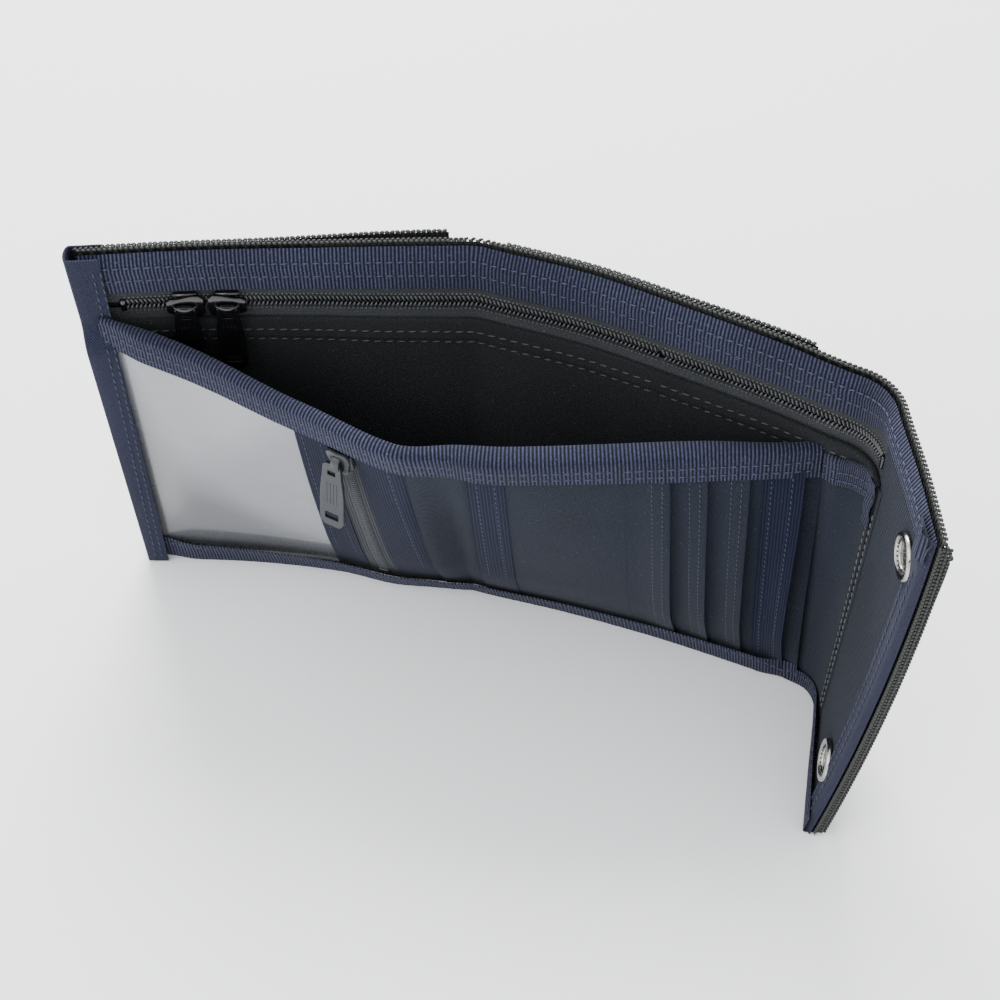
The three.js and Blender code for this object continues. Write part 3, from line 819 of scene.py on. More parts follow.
@dataclass
class Binding:
    """Tape folded round an edge. Its section is a path through (up or along, depth) places."""

    name: str
    run: tuple[float, float]
    section: Callable[[float], Sequence[tuple[float, float]]]
    place: Callable[[float, float, float], Vector]
    finish: Finish
    width: float
    thickness: float = 0.5
    step: float = 1.6
    flip: bool = False

    def build(self) -> bpy.types.Object:
        """Make the tape.

        Returns:
            The piece.
        """
        length = self.run[1] - self.run[0]
        bm = bmesh.new()
        tape_uv = bm.loops.layers.uv.new("UVMap")
        across = len(self.section(self.run[0])) - 1
        bmesh.ops.create_grid(bm, x_segments=max(int(length / self.step), 4), y_segments=across, size=0.5)
        reach = {}
        for vert in bm.verts:
            run = self.run[0] + (vert.co.x + 0.5) * length
            index = round((vert.co.y + 0.5) * across)
            section = self.section(run)
            travelled = sum(math.dist(a, b) for a, b in zip(section[:index], section[1:index + 1]))
            reach[vert.index] = (run * MM, travelled * MM)
            level, depth = section[index]
            vert.co = self.place(run, level, depth)
        for face in bm.faces:
            for loop in face.loops:
                loop[tape_uv].uv = reach[loop.vert.index]
        if self.flip:
            bmesh.ops.reverse_faces(bm, faces=bm.faces)
        thicken(bm, self.thickness)
        piece = add_object(bm, self.name, self.finish)
        return piece


def rounded_over(low: float, high: float, near: float, far: float) -> list[tuple[float, float]]:
    """The section of tape over an edge: up one face at depth near, round the top, down the other at far.

    Args:
        low: where the tape starts and ends.
        high: its top.
        near: depth of its front face.
        far: depth of its back face.

    Returns:
        The section's points as (up, depth).
    """
    radius = (near - far) / 2
    middle = (near + far) / 2
    crown = min(abs(radius), FOLD_CROWN)
    shoulder = high - crown
    points = [(low + (shoulder - low) * i / 3, near) for i in range(4)]
    for i in range(1, 8):
        angle = math.pi * i / 8
        points.append((shoulder + crown * math.sin(angle), middle + radius * math.cos(angle)))
    points += [(shoulder - (shoulder - low) * i / 3, far) for i in range(4)]
    return points


def rounded_under(low: float, high: float, near: float, far: float) -> list[tuple[float, float]]:
    """The section of tape under an edge, from its front face down, round and up its back."""
    return [(low + high - up, depth) for up, depth in rounded_over(low, high, near, far)]


class Beads:
    """Many small rounded beads in one mesh: stitches, teeth or yarns."""

    pattern: bpy.types.Mesh | None = None

    def __init__(self, name: str, finish: Finish) -> None:
        """Start with none."""
        self.name = name
        self.finish = finish
        self.whole = bmesh.new()
        self.places: list[Matrix] = []
        if Beads.pattern is None:
            bead = bmesh.new()
            bmesh.ops.create_uvsphere(bead, u_segments=6, v_segments=4, radius=1)
            Beads.pattern = bpy.data.meshes.new("bead pattern")
            bead.to_mesh(Beads.pattern)
            bead.free()

    def row(self, frames: Iterable[Spot], size: tuple[float, float, float]) -> None:
        """Add beads.

        Args:
            frames: each bead's centre, the direction of its length, and the way it faces.
            size: each bead's length, width and thickness.
        """
        scale = Matrix.Diagonal((size[0] / 2, size[1] / 2, size[2] / 2, 1))
        for centre, length, facing in frames:
            side = facing.cross(length).normalized()
            lift = length.cross(side).normalized()
            turn = Matrix((length.normalized(), side, lift)).transposed().to_4x4()
            self.places.append(Matrix.Translation(centre) @ turn @ scale)
            self.whole.from_mesh(Beads.pattern)

    def build(self) -> bpy.types.Object:
        """Make the piece."""
        self.whole.verts.ensure_lookup_table()
        corners = len(Beads.pattern.vertices)
        for i, place in enumerate(self.places):
            for vert in self.whole.verts[i * corners:(i + 1) * corners]:
                vert.co = place @ vert.co
        return add_object(self.whole, self.name, self.finish)


def framed(surface: Surface, along: float, up: float, depth: float, slant: float = 0.0,
           upright: bool = False) -> Spot:
    """A bead's centre and directions on a wall.

    Args:
        surface: the wall.
        along: place along it.
        up: place up it.
        depth: depth of the bead's centre.
        slant: turn of the bead's length from level, in radians.
        upright: whether the length is turned to run up the wall.

    Returns:
        The centre, the length's direction and the facing direction.
    """
    centre = surface(along, up, depth)
    run = (surface(along + 0.5, up, depth) - surface(along - 0.5, up, depth)).normalized()
    rise = (surface(along, up + 0.5, depth) - surface(along, up - 0.5, depth)).normalized()
    facing = run.cross(rise).normalized()
    if upright:
        slant += math.pi / 2
    return centre, run * math.cos(slant) + rise * math.sin(slant), facing


def steps(run: tuple[float, float], pitch: float) -> list[float]:
    """The middles of the whole steps of a pitch that fit in a run."""
    return [run[0] + (i + 0.5) * pitch for i in range(int((run[1] - run[0]) / pitch))]


def level_stitches(beads: Beads, surface: Surface, run: tuple[float, float], up: Callable[[float], float],
                   depth: float, pitch: float = 2.7, width: float = 0.45) -> None:
    """Sew a row of stitches along a wall.

    Args:
        beads: the thread's mesh.
        surface: the wall.
        run: where the row starts and ends.
        up: its height along the run.
        depth: depth of the cloth's face.
        pitch: length of one stitch with its gap.
        width: the thread's thickness.
    """
    frames = [framed(surface, along, up(along), depth + width * 0.2, STITCH_SLANT)
              for along in steps(run, pitch)]
    beads.row(frames, (pitch * STITCH_SHARE, width, width))


def upright_stitches(beads: Beads, surface: Surface, along: float, rise: tuple[float, float],
                     depth: Callable[[float, float], float] | float, pitch: float = 2.7,
                     width: float = 0.45) -> None:
    """Sew a row of stitches up a wall, as level_stitches does along it."""
    frames = []
    for up in steps(rise, pitch):
        level = depth(along, up) if callable(depth) else depth
        frames.append(framed(surface, along, up, level + width * 0.2, STITCH_SLANT, upright=True))
    beads.row(frames, (pitch * STITCH_SHARE, width, width))


# ---------------------------------------------------------------------------------------------
# Back wall
# ---------------------------------------------------------------------------------------------


@dataclass
class BackWall:
    """Outer shell, outer pockets, facing tape and lining of the three panels."""

    shell_depth: float = 0.6
    patch_depth: float = -0.9
    mouth_depth: float = -1.4
    lining_depth: float = 2.9
    flap_lining_depth: float = 2.3
    base: float = 0.9
    facing_low: float = 108.1
    flap_facing_low: float = 112.4
    lining_top: float = 96.9
    flap_lining_start: float = FLAP_START + 1.5

    def build(self) -> None:
        """Make all the back wall's cloth."""
        for side, run, by, nodes in (
            ("west", (0.8, SPLIT), Hold.SPINE, ("outer_shell_left", "outer_shell_middle")),
            ("east", (SPLIT, FLAP_END - 0.6), Hold.CORNER, ("outer_shell_flap",)),
        ):
            shell = Patch(f"shell_{side}", run, (self.base, HEIGHT - 0.5), back_wall, SHELL,
                          self.shell_depth, 1.2).build()
            hold(shell, by, nodes)
            self.braid(side, run, by)
            self.facing(side, run, by)
        self.patches()
        self.linings()

    def braid(self, side: str, run: tuple[float, float], by: Hold) -> None:
        """Make the plaited yarn edge along the shell's top."""
        edge = Beads(f"shell_edge_{side}", DARK_THREAD)
        for strand, slant in ((-0.35, 0.4), (0.35, -0.4)):
            shift = strand * YARN_PITCH
            frames = [framed(back_wall, along + shift, HEIGHT - 0.55, strand, slant)
                      for along in steps(run, YARN_PITCH)]
            edge.row(frames, (1.5, 0.85, 0.8))
        hold(edge.build(), by)

    def facing(self, side: str, run: tuple[float, float], by: Hold) -> None:
        """Make the ribbed facing tape inside the top edge, with its two rows of stitches."""
        start, end = max(run[0], 1.5), run[1] - (0.6 if by is Hold.CORNER else 0)
        top = HEIGHT - 0.9
        tape = Patch(f"facing_{side}", (start, end), (self.facing_low, top), back_wall, NAVY,
                     self.lining_depth, 1.0, 1.6, relief=self.facing_relief, low_edge=self.facing_edge)
        nodes = ("facing_tape_left", "facing_tape_middle") if by is Hold.SPINE else ("flap_binding_top",)
        hold(tape.build(), by, nodes)
        thread = Beads(f"facing_stitches_{side}", NAVY_THREAD)
        for share in (0.3, 0.68):
            level_stitches(thread, back_wall, (start, end),
                           lambda a, s=share: self.facing_edge(a) + s * (top - self.facing_edge(a)),
                           self.lining_depth + 0.3, TAPE_PITCH, 0.42)
        hold(thread.build(), by)

    def facing_relief(self, along: float, up: float) -> float:
        """How the facing tape is padded across, and turns over at the top."""
        return 0.35 * math.sin(math.pi * (up - 108) / 12) - 1.5 * smoothstep(up, 115, HEIGHT)

    def facing_edge(self, along: float) -> float:
        """The facing tape's lower edge, which narrows past fold 2."""
        rise = smoothstep(along, FOLD_2_START + 2, FLAP_START + 6)
        return self.facing_low + (self.flap_facing_low - self.facing_low) * rise

    def patches(self) -> None:
        """Make the three outer pockets."""
        for name, widest in (("left", 2.4), ("middle", 0.9), ("flap", 1.2)):
            by = name if name == "flap" else f"{name}_panel"
            low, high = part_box(f"outer_pocket_{name}")
            foot, mouth = low.z / MM, high.z / MM
            start, end = self.along_of(name, low.x / MM), self.along_of(name, high.x / MM)
            gape = self.pocket_gape(start, end, mouth, widest)
            patch = Patch(f"pocket_outside_{name}", (start, end), (foot, mouth), back_wall, SHELL,
                          self.patch_depth, 1.1, 2.0, relief=gape).build()
            hold(patch, by, (f"outer_pocket_{name}",))
            edge = Beads(f"pocket_outside_edge_{name}", DARK_THREAD)
            frames = []
            for i, along in enumerate(steps((start, end), YARN_PITCH)):
                depth = self.mouth_depth + gape(along, mouth)
                frames.append(framed(back_wall, along, mouth - 0.1, depth, 0.35 if i % 2 else -0.35))
            edge.row(frames, (1.5, 0.9, 1.2))
            for along in (start + 1.6, end - 1.6):
                upright_stitches(edge, back_wall, along, (foot + 1, mouth - 1), self.patch_depth - 1.25,
                                 width=0.5)
            hold(edge.build(), by)

    def along_of(self, name: str, x: float) -> float:
        """The place along the wall of a point of a panel at x."""
        if name == "middle":
            return MIDDLE_START + x - FOLD_1.x
        if name == "left":
            point, _ = course(FOLD_1_START - 1e-6)
            return FOLD_1_START - (point.x - x) / math.cos(BEND_1)
        point, _ = course(FLAP_START)
        return min(max(FLAP_START + (x - point.x) / math.cos(BEND_2), FLAP_START + 12), FLAP_END - 0.8)

    def pocket_gape(self, start: float, end: float, top: float,
                    widest: float) -> Callable[[float, float], float]:
        """How an outer pocket's mouth stands away from the shell.

        Args:
            start: where the pocket starts along the wall.
            end: where it ends.
            top: height of its mouth.
            widest: how far it stands off at its end.

        Returns:
            The extra depth at a place, which is negative.
        """
        def gape(along: float, up: float) -> float:
            """The gape at one place."""
            share = smoothstep(along, start + 0.3 * (end - start), end)
            return -0.15 - widest * share * smoothstep(up, top - 40, top)
        return gape

    def linings(self) -> None:
        """Make the lining, its folded top edge and its seams."""
        west = ("lining_left", "lining_middle", "fold_lining", "zip_pocket_bag_left", "zip_pocket_bag_middle")
        for side, run, by, nodes in (
            ("west", (6.0, SPLIT), Hold.SPINE, west),
            ("east", (SPLIT, self.flap_lining_start + 2), Hold.CORNER, ()),
        ):
            lining = Patch(f"lining_{side}", run, (self.base, self.lining_top), back_wall, LINING,
                           self.lining_depth, 0.6).build()
            hold(lining, by, nodes)
            hem = Binding(f"lining_hem_{side}", run,
                          lambda a: rounded_over(self.lining_top - 5, self.lining_top + 0.8, 3.5, 2.2),
                          back_wall, LINING, 11, 0.3).build()
            hold(hem, by)
            thread = Beads(f"lining_stitches_{side}", LINING_THREAD)
            for drop in (3.0, 6.8):
                level_stitches(thread, back_wall, run, lambda a, d=drop: self.lining_top - d,
                               self.lining_depth + (0.6 if drop < 5 else 0), 2.9, 0.42)
            hold(thread.build(), by)
        start, end = self.flap_lining_start, FLAP_END - 5
        flap = Patch("lining_flap_cloth", (start, end), (4.0, 113.2), back_wall, FLAP_CLOTH,
                     self.flap_lining_depth, 0.6, 1.6, high_edge=lambda a: self.facing_edge(a) + 0.6).build()
        hold(flap, Hold.CORNER, ("lining_flap",))


# ---------------------------------------------------------------------------------------------
# Long zip
# ---------------------------------------------------------------------------------------------


@dataclass
class LongZip:
    """The coil zip of the bill compartment's back pocket, with two black sliders."""

    level: float = 102.5
    start: float = 10.0
    end: float = FLAP_START + 0.9
    pitch: float = 1.06
    coil_depth: float = 2.25
    tape_depth: float = 2.0
    slider_places: tuple[float, float] = (25.1, 35.3)

    def build(self) -> None:
        """Make tapes, coil, stops and sliders."""
        tapes = (("upper", (self.level + 1.2, 110.0)), ("lower", (94.0, self.level - 1.2)))
        halves = (("west", (6.0, SPLIT), Hold.SPINE), ("east", (SPLIT, FLAP_START + 4), Hold.CORNER))
        for side, run, by in halves:
            for name, up in tapes:
                tape = Patch(f"zip_tape_{name}_{side}", run, up, back_wall, TAPE, self.tape_depth, 0.5, 1.8)
                nodes = (f"zip_tape_{name}_left", f"zip_tape_{name}_middle") if side == "west" else ()
                hold(tape.build(), by, nodes)
            self.coil(side, (max(run[0], self.start), min(run[1], self.end)), by)
        for name, along in (("left", self.start), ("middle", self.end)):
            stop = self.stop(f"long_zip_stop_{name}", along)
            hold(stop, "left_panel" if name == "left" else Hold.CORNER, (f"zip_stop_{name}",))
        for letter, along in zip("ab", self.slider_places):
            slider = Slider(f"slider_{letter}_body", back_wall, along, self.level, self.coil_depth + 0.9,
                            BLACK, facing_left=letter == "b")
            hold(slider.build(), f"slider_{letter}", (f"zip_slider_{letter}",))
            pull = PullTab(f"slider_{letter}_pull", back_wall, along, self.level, self.coil_depth + 2.6,
                           BLACK)
            hold(pull.build(), f"pull_{letter}", (f"zip_pull_{letter}",))

    def coil(self, side: str, run: tuple[float, float], by: Hold) -> None:
        """Make the two rows of coil loops and the stitching beside them."""
        teeth = Beads(f"zip_teeth_{side}", COIL)
        count = int((run[1] - run[0]) / self.pitch)
        for sign, shift in ((1, 0.0), (-1, 0.5)):
            frames = []
            for i in range(count):
                along = run[0] + (i + 0.25 + shift) * self.pitch
                frames.append(framed(back_wall, along, self.level + sign * 0.95, self.coil_depth,
                                     sign * 0.42, upright=True))
            teeth.row(frames, (2.5, 0.74, 1.1))
        nodes = ("zip_coil_left", "zip_coil_middle") if side == "west" else ()
        hold(teeth.build(), by, nodes)
        cord = Beads(f"zip_tape_stitches_{side}", TAPE_THREAD)
        for sign in (1, -1):
            level_stitches(cord, back_wall, run, lambda a, s=sign: self.level + s * 2.25, self.tape_depth,
                           self.pitch, 0.5)
        hold(cord.build(), by)

    def stop(self, name: str, along: float) -> bpy.types.Object:
        """Make a crimped stop across the coil."""
        bm = rounded_block((1.5, 3.6, 1.5), 0.35)
        place_on(bm, framed(back_wall, along, self.level, self.coil_depth))
        return add_object(bm, name, BLACK)


def round_off(bm: bmesh.types.BMesh, edges: list[bmesh.types.BMEdge], rounding: float,
              segments: int = 2) -> None:
    """Round some edges of a mesh."""
    bmesh.ops.bevel(bm, geom=edges, offset=rounding, segments=segments, affect="EDGES", profile=0.5,
                    material=-1)


def rounded_block(size: tuple[float, float, float], rounding: float) -> bmesh.types.BMesh:
    """A small block with rounded edges."""
    bm = bmesh.new()
    bmesh.ops.create_cube(bm, size=1.0)
    bmesh.ops.scale(bm, vec=size, verts=bm.verts)
    round_off(bm, bm.edges[:], rounding)
    return bm


def place_on(bm: bmesh.types.BMesh, at: Spot) -> None:
    """Stand a mesh on a wall: its x along, its y up and its z outwards from the wall."""
    centre, run, facing = at
    rise = facing.cross(run).normalized()
    turn = Matrix((run.normalized(), rise, facing.normalized())).transposed().to_4x4()
    bmesh.ops.transform(bm, matrix=Matrix.Translation(centre) @ turn, verts=bm.verts)


def raise_plate(bm: bmesh.types.BMesh, thickness: float) -> None:
    """Give a flat mesh its thickness, upwards."""
    raised = bmesh.ops.extrude_face_region(bm, geom=bm.faces[:])
    moved = [v for v in raised["geom"] if isinstance(v, bmesh.types.BMVert)]
    bmesh.ops.translate(bm, vec=(0, 0, thickness), verts=moved)
    bmesh.ops.recalc_face_normals(bm, faces=bm.faces)


@dataclass
class Slider:
    """A zip slider: a waisted front plate with a bridge that carries the pull."""

    PLATE: ClassVar[float] = 1.0
    BRIDGE_REACH: ClassVar[float] = 2.9
    BRIDGE_RISE: ClassVar[float] = 1.7
    BRIDGE_STEPS: ClassVar[int] = 10
    name: str
    surface: Surface
    along: float
    up: float
    depth: float
    finish: Finish
    length: float = 9.2
    width: float = 6.8
    facing_left: bool = False
    upright: bool = False

    def build(self) -> bpy.types.Object:
        """Make the slider.

        Returns:
            The piece.
        """
        bm = bmesh.new()
        bmesh.ops.create_grid(bm, x_segments=8, y_segments=4, size=0.5)
        for vert in bm.verts:
            t = vert.co.x + 0.5
            half = self.width / 2 * (0.72 + 0.28 * smoothstep(t, 0.25, 0.75))
            half *= 1 - 0.3 * smoothstep(abs(vert.co.x), 0.4, 0.5)
            crown = 0.25 * math.cos(vert.co.y * math.pi)
            vert.co = Vector((vert.co.x * self.length, vert.co.y * 2 * half, crown))
        raise_plate(bm, self.PLATE)
        for side in (-1, 1):
            middle = Matrix.Translation((0, side * (self.width / 2 - 0.35), -0.7))
            size = Matrix.Diagonal((self.length * 0.62, 0.7, 1.6, 1))
            wall = bmesh.ops.create_cube(bm, size=1.0, matrix=middle @ size)
            round_off(bm, list({e for v in wall["verts"] for e in v.link_edges}), 0.25)
        self.bridge(bm)
        turn = math.pi if self.facing_left else math.pi / 2 if self.upright else 0.0
        bmesh.ops.rotate(bm, cent=(0, 0, 0), matrix=Matrix.Rotation(turn, 3, "Z"), verts=bm.verts)
        place_on(bm, framed(self.surface, self.along, self.up, self.depth))
        return soften(add_object(bm, self.name, self.finish), 0.18)

    def bridge(self, bm: bmesh.types.BMesh) -> None:
        """Add the arched bridge over the plate."""
        steps = self.BRIDGE_STEPS
        arc = []
        for i in range(steps + 1):
            turn = math.pi * i / steps
            arc.append(Vector((self.BRIDGE_REACH * math.cos(turn), 0,
                               self.PLATE + self.BRIDGE_RISE * math.sin(turn))))
        side = Vector((0, 1, 0))
        rings = []
        for i, point in enumerate(arc):
            ahead = (arc[min(i + 1, steps)] - arc[max(i - 1, 0)]).normalized()
            lift = side.cross(ahead).normalized()
            corners = ((-1, -1), (1, -1), (1, 1), (-1, 1))
            rings.append([bm.verts.new(point + side * 1.1 * y + lift * 0.35 * z) for y, z in corners])
        for before, after in zip(rings, rings[1:]):
            for i in range(4):
                bm.faces.new((before[i], before[(i + 1) % 4], after[(i + 1) % 4], after[i]))
        bm.faces.new(rings[0][::-1])
        bm.faces.new(rings[-1])
        bmesh.ops.recalc_face_normals(bm, faces=bm.faces)


@dataclass
class PullTab:
    """A flat pull tab that hangs from its slider, with a slot at its top, grooves and a finger hole."""

    name: str
    surface: Surface
    along: float
    up: float
    depth: float
    finish: Finish
    length: float = 21.0
    width: float = 6.8
    thickness: float = 0.9
    tilt: float = 0.0
    slot: tuple[float, float, float] = (1.25, -2.4, -0.9)  # half its width, its foot and its top
    grip: tuple[float, float, float] = (1.75, -17.6, -15.6)

    def build(self) -> bpy.types.Object:
        """Make the tab.

        Returns:
            The piece.
        """
        bm = bmesh.new()
        bmesh.ops.create_grid(bm, x_segments=14, y_segments=28, size=0.5)
        for vert in bm.verts:
            t = vert.co.y + 0.5
            half = self.width / 2 * (0.74 + 0.26 * smoothstep(t, 1.0, 0.45) if t > 0.45 else 1.0)
            half *= math.sqrt(max(1 - smoothstep(1 - t, 0.86, 1.06) ** 2, 0.05))
            half *= math.sqrt(max(1 - smoothstep(t, 0.93, 1.03) ** 2, 0.05))
            vert.co = Vector((vert.co.x * 2 * half, (t - 1) * self.length + 1.2, 0))
        holes = []
        for face in bm.faces:
            centre = face.calc_center_median()
            for half, low, high in (self.slot, self.grip):
                if abs(centre.x) < half and low < centre.y < high:
                    holes.append(face)
        bmesh.ops.delete(bm, geom=holes, context="FACES")
        raise_plate(bm, self.thickness)
        ribs = bmesh.new()
        for x in (-1.425, -0.475, 0.475, 1.425):
            rib = Matrix.Translation((x, -8.8, self.thickness)) @ Matrix.Diagonal((0.32, 7.0, 0.22, 1))
            bmesh.ops.create_cube(ribs, size=1.0, matrix=rib)
        round_off(ribs, ribs.edges[:], 0.07, segments=1)
        mesh = bpy.data.meshes.new("ribs")
        ribs.to_mesh(mesh)
        ribs.free()
        bm.from_mesh(mesh)
        bpy.data.meshes.remove(mesh)
        centre, run, facing = framed(self.surface, self.along, self.up, self.depth)
        hang = Vector((0, 0, 1))
        flat = Vector((run.x, run.y, 0)).normalized()
        out = flat.cross(hang)
        turn = Matrix((flat, hang, out)).transposed().to_4x4()
        lean = Matrix.Rotation(self.tilt, 4, "X")
        bmesh.ops.transform(bm, matrix=Matrix.Translation(centre) @ turn @ lean, verts=bm.verts)
        return soften(add_object(bm, self.name, self.finish), 0.2)


# ---------------------------------------------------------------------------------------------
# Front wall
# ---------------------------------------------------------------------------------------------


@dataclass
class LeftFront:
    """Left front wall: card window, coin pocket with its zip, and the slip pocket."""

    foot: float = 4.0
    face_top: float = 88.0
    window: tuple[float, float] = (5.0, 56.5)
    outer_strip: tuple[float, float] = (56.0, 65.5)
    inner_strip: tuple[float, float] = (73.6, 88.0)
    slip: tuple[float, float] = (86.5, FRONT_FOLD)
    coin_zip: float = 69.6
    coil_half: float = 1.7
    slider_up: float = 80.5

    def build(self) -> None:
        """Make the left front wall."""
        up = (self.foot, self.face_top)
        backing = Patch("left_front_backing", (front_wall.start, FRONT_FOLD), (self.foot, BACKING_TOP),
                        front_wall, LINING, 0.0, 0.5)
        hold(backing.build(), Hold.FRONT, ("front_backing_left", "coin_pocket_bag"))
        window = Patch("card_window_sheet", self.window, up, front_wall, WINDOW, 1.0, 0.4,
                       relief=self.ripple)
        hold(window.build(), Hold.FRONT, ("card_window",))
        outer = Patch("coin_outer_strip", self.outer_strip, up, front_wall, NAVY_STRIP, 1.5, 0.5, 1.4).build()
        hold(outer, Hold.FRONT)
        inner = Patch("coin_inner_strip", self.inner_strip, up, front_wall, NAVY_STRIP, 1.6, 0.5, 1.4,
                      relief=lambda a, u: 0.5 * math.sin(math.pi * (a - 74) / 14)).build()
        hold(inner, Hold.FRONT, ("coin_strip",))
        slip = Patch("slip_pocket_cloth", self.slip, up, front_wall, RIBBED, 2.3, 0.7, 1.2,
                     relief=self.slip_relief).build()
        hold(slip, Hold.FRONT, ("slip_pocket",))
        self.zip()
        thread = Beads("coin_strip_stitches", NAVY_THREAD)
        for along, depth in ((58.0, 1.5), (63.4, 1.5), (76.5, 1.7), (82.2, 2.1)):
            upright_stitches(thread, front_wall, along, (7, 86), depth, 2.6, 0.34)
        hold(thread.build(), Hold.FRONT)

    def ripple(self, along: float, up: float) -> float:
        """How the window's sheet ripples, more and more above its foot."""
        return 0.5 * math.sin(along / 9) * math.sin(up / 17) * smoothstep(up, 8, 34)

    def slip_relief(self, along: float, up: float) -> float:
        """The slip pocket's soft wave: proud at its open edge, hollow beside the front fold."""
        t = (along - self.slip[0]) / (self.slip[1] - self.slip[0])
        belly = math.sin(math.pi * min(up / self.face_top, 1))
        return (1.6 * (1 - smoothstep(t, 0.0, 0.45)) - 2.2 * math.sin(math.pi * t) ** 2) * belly

    def zip(self) -> None:
        """Make the coin zip's tapes, its smooth reversed coil, slider and pull."""
        for name, run in (("outer", (64.5, self.coin_zip - 1.5)), ("inner", (self.coin_zip + 1.5, 75.2))):
            tape = Patch(f"coin_tape_{name}", run, (self.foot, self.face_top), front_wall, COIN_TAPE, 1.1,
                         0.4, 0.8)
            hold(tape.build(), Hold.FRONT, (f"coin_zip_tape_{name}",))
        half = self.coil_half
        coil = Patch("coin_zip_chain", (self.coin_zip - half, self.coin_zip + half),
                     (self.foot + 3, self.face_top), front_wall, GREY_RIB, 1.9, 0.8, 0.35,
                     relief=self.coil_round)
        hold(coil.build(), Hold.FRONT, ("coin_zip_coil",))
        bm = rounded_block((3.0, 1.6, 1.4), 0.3)
        place_on(bm, framed(front_wall, self.coin_zip, self.foot + 3.4, 1.8))
        hold(add_object(bm, "coin_zip_end", GUNMETAL), "left_front", ("coin_zip_stop",))
        slider = Slider("coin_slider_body", front_wall, self.coin_zip, self.slider_up, 2.6, GUNMETAL,
                        9.4, 6.4, upright=True)
        hold(slider.build(), "coin_slider", ("coin_zip_slider",))
        pull = PullTab("coin_pull_tab", front_wall, self.coin_zip - 1, self.slider_up - 0.5, 4.6, GUNMETAL,
                       tilt=-0.12)
        hold(pull.build(), "coin_pull", ("coin_zip_pull",))

    def coil_round(self, along: float, up: float) -> float:
        """The chain's round back, with the groove down its middle."""
        off = along - self.coin_zip
        return -0.9 * (off / self.coil_half) ** 2 - 0.5 * math.exp(-(off / 0.25) ** 2)


@dataclass
class Pocket:
    """One card pocket: its open edge along the middle panel, its finish, and where its cloth starts."""

    number: int
    edge: float
    depth: float
    finish: Finish
    start: float


@dataclass
class CardWall:
    """Card pockets on the middle panel's front wall, and the navy strip on its web."""

    foot: float = 4.0
    face_top: float = 88.0
    strip_end: float = 19.4  # along the middle panel, as the pockets' edges are
    first_edge: float = 84.2
    lift: float = 2.5
    stitch_pitch: float = 1.9
    stitch_width: float = 0.36

    def pockets(self) -> tuple[Pocket, ...]:
        """The pockets, from the innermost."""
        return (
            Pocket(1, self.first_edge, 1.2, RIBBED, 50.0),
            Pocket(2, 72.7, 1.9, RIBBED, 48.0),
            Pocket(3, 63.2, 2.6, RIBBED, 47.0),
            Pocket(4, 54.7, 3.3, RIBBED, 45.0),
        )

    def build(self) -> None:
        """Make the card wall."""
        at = front_wall.place_of
        up = (self.foot, self.face_top)
        web = Patch("web_backing", (FRONT_FOLD, CARD_SPLIT), (self.foot, BACKING_TOP), front_wall, LINING,
                    0.0, 0.5)
        hold(web.build(), Hold.WEB, ("fold_web",))
        wall = Patch("card_wall_backing", (CARD_SPLIT, front_wall.end), (self.foot, BACKING_TOP), front_wall,
                     RIBBED, 0.4, 0.6, 1.5)
        hold(wall.build(), Hold.CARDS, ("card_backing",))
        strip_end = at(self.strip_end)
        strip = Patch("fold_strip_cloth", (FRONT_FOLD, strip_end), up, front_wall, NAVY_STRIP, 3.5, 0.6, 1.2)
        hold(strip.build(), Hold.WEB, ("fold_strip",))
        inner = Patch("card_panel_inner", (strip_end - 1.5, CARD_SPLIT), up, front_wall, RIBBED, 3.1, 0.5,
                      1.2, relief=lambda a, u: 0.2 * (a - FRONT_FOLD) / 30)
        hold(inner.build(), Hold.WEB)
        thread = Beads("fold_strip_stitches", NAVY_THREAD)
        for along in (at(13.4), at(17.2)):
            upright_stitches(thread, front_wall, along, (7, 86), 3.5, 2.6, 0.38)
        hold(thread.build(), Hold.WEB)
        rows = Beads("card_stitches", LINING_THREAD)
        for pocket in self.pockets():
            edge = at(pocket.edge)
            relief = self.relief(edge)
            cloth = Patch(f"card_pocket_cloth_{pocket.number}", (at(pocket.start), edge), up, front_wall,
                          pocket.finish, pocket.depth, 0.45, 1.0, relief=relief)
            hold(cloth.build(), Hold.CARDS, (f"card_pocket_{pocket.number}",))
            if pocket.number > 1:
                self.sew(rows, (edge - 1.9, edge - 4.4), pocket.depth, relief)
        hold(rows.build(), Hold.CARDS)
        edge = at(self.first_edge)
        relief = self.relief(edge)
        navy = Patch("card_navy_strip", (at(75.6), edge + 0.25), up, front_wall, NAVY_STRIP, 1.65, 0.45, 1.0,
                     relief=relief)
        hold(navy.build(), Hold.CARDS)
        lines = Beads("card_navy_stitches", NAVY_THREAD)
        self.sew(lines, (at(77.6), at(81.8)), 1.65, relief)
        hold(lines.build(), Hold.CARDS)

    def sew(self, rows: Beads, places: Sequence[float], face: float,
            relief: Callable[[float, float], float]) -> None:
        """Sew rows of stitches up a pocket.

        Args:
            rows: the thread's mesh.
            places: each row's place along the wall.
            face: depth of the pocket's face.
            relief: the extra depth at a place.
        """
        for along in places:
            upright_stitches(rows, front_wall, along, (8, 87), lambda a, u: face + relief(a, u),
                             self.stitch_pitch, self.stitch_width)

    def relief(self, edge: float) -> Callable[[float, float], float]:
        """How a pocket's cloth stands off towards its open edge.

        Args:
            edge: the open edge's place along the wall.

        Returns:
            The extra depth at a place.
        """
        def lift(along: float, up: float) -> float:
            """The lift at one place."""
            belly = 0.35 + 0.65 * math.sin(math.pi * min(max(up / self.face_top, 0), 1))
            return self.lift * smoothstep(along, edge - 9, edge) * belly
        return lift


# ---------------------------------------------------------------------------------------------
# Bindings
# ---------------------------------------------------------------------------------------------


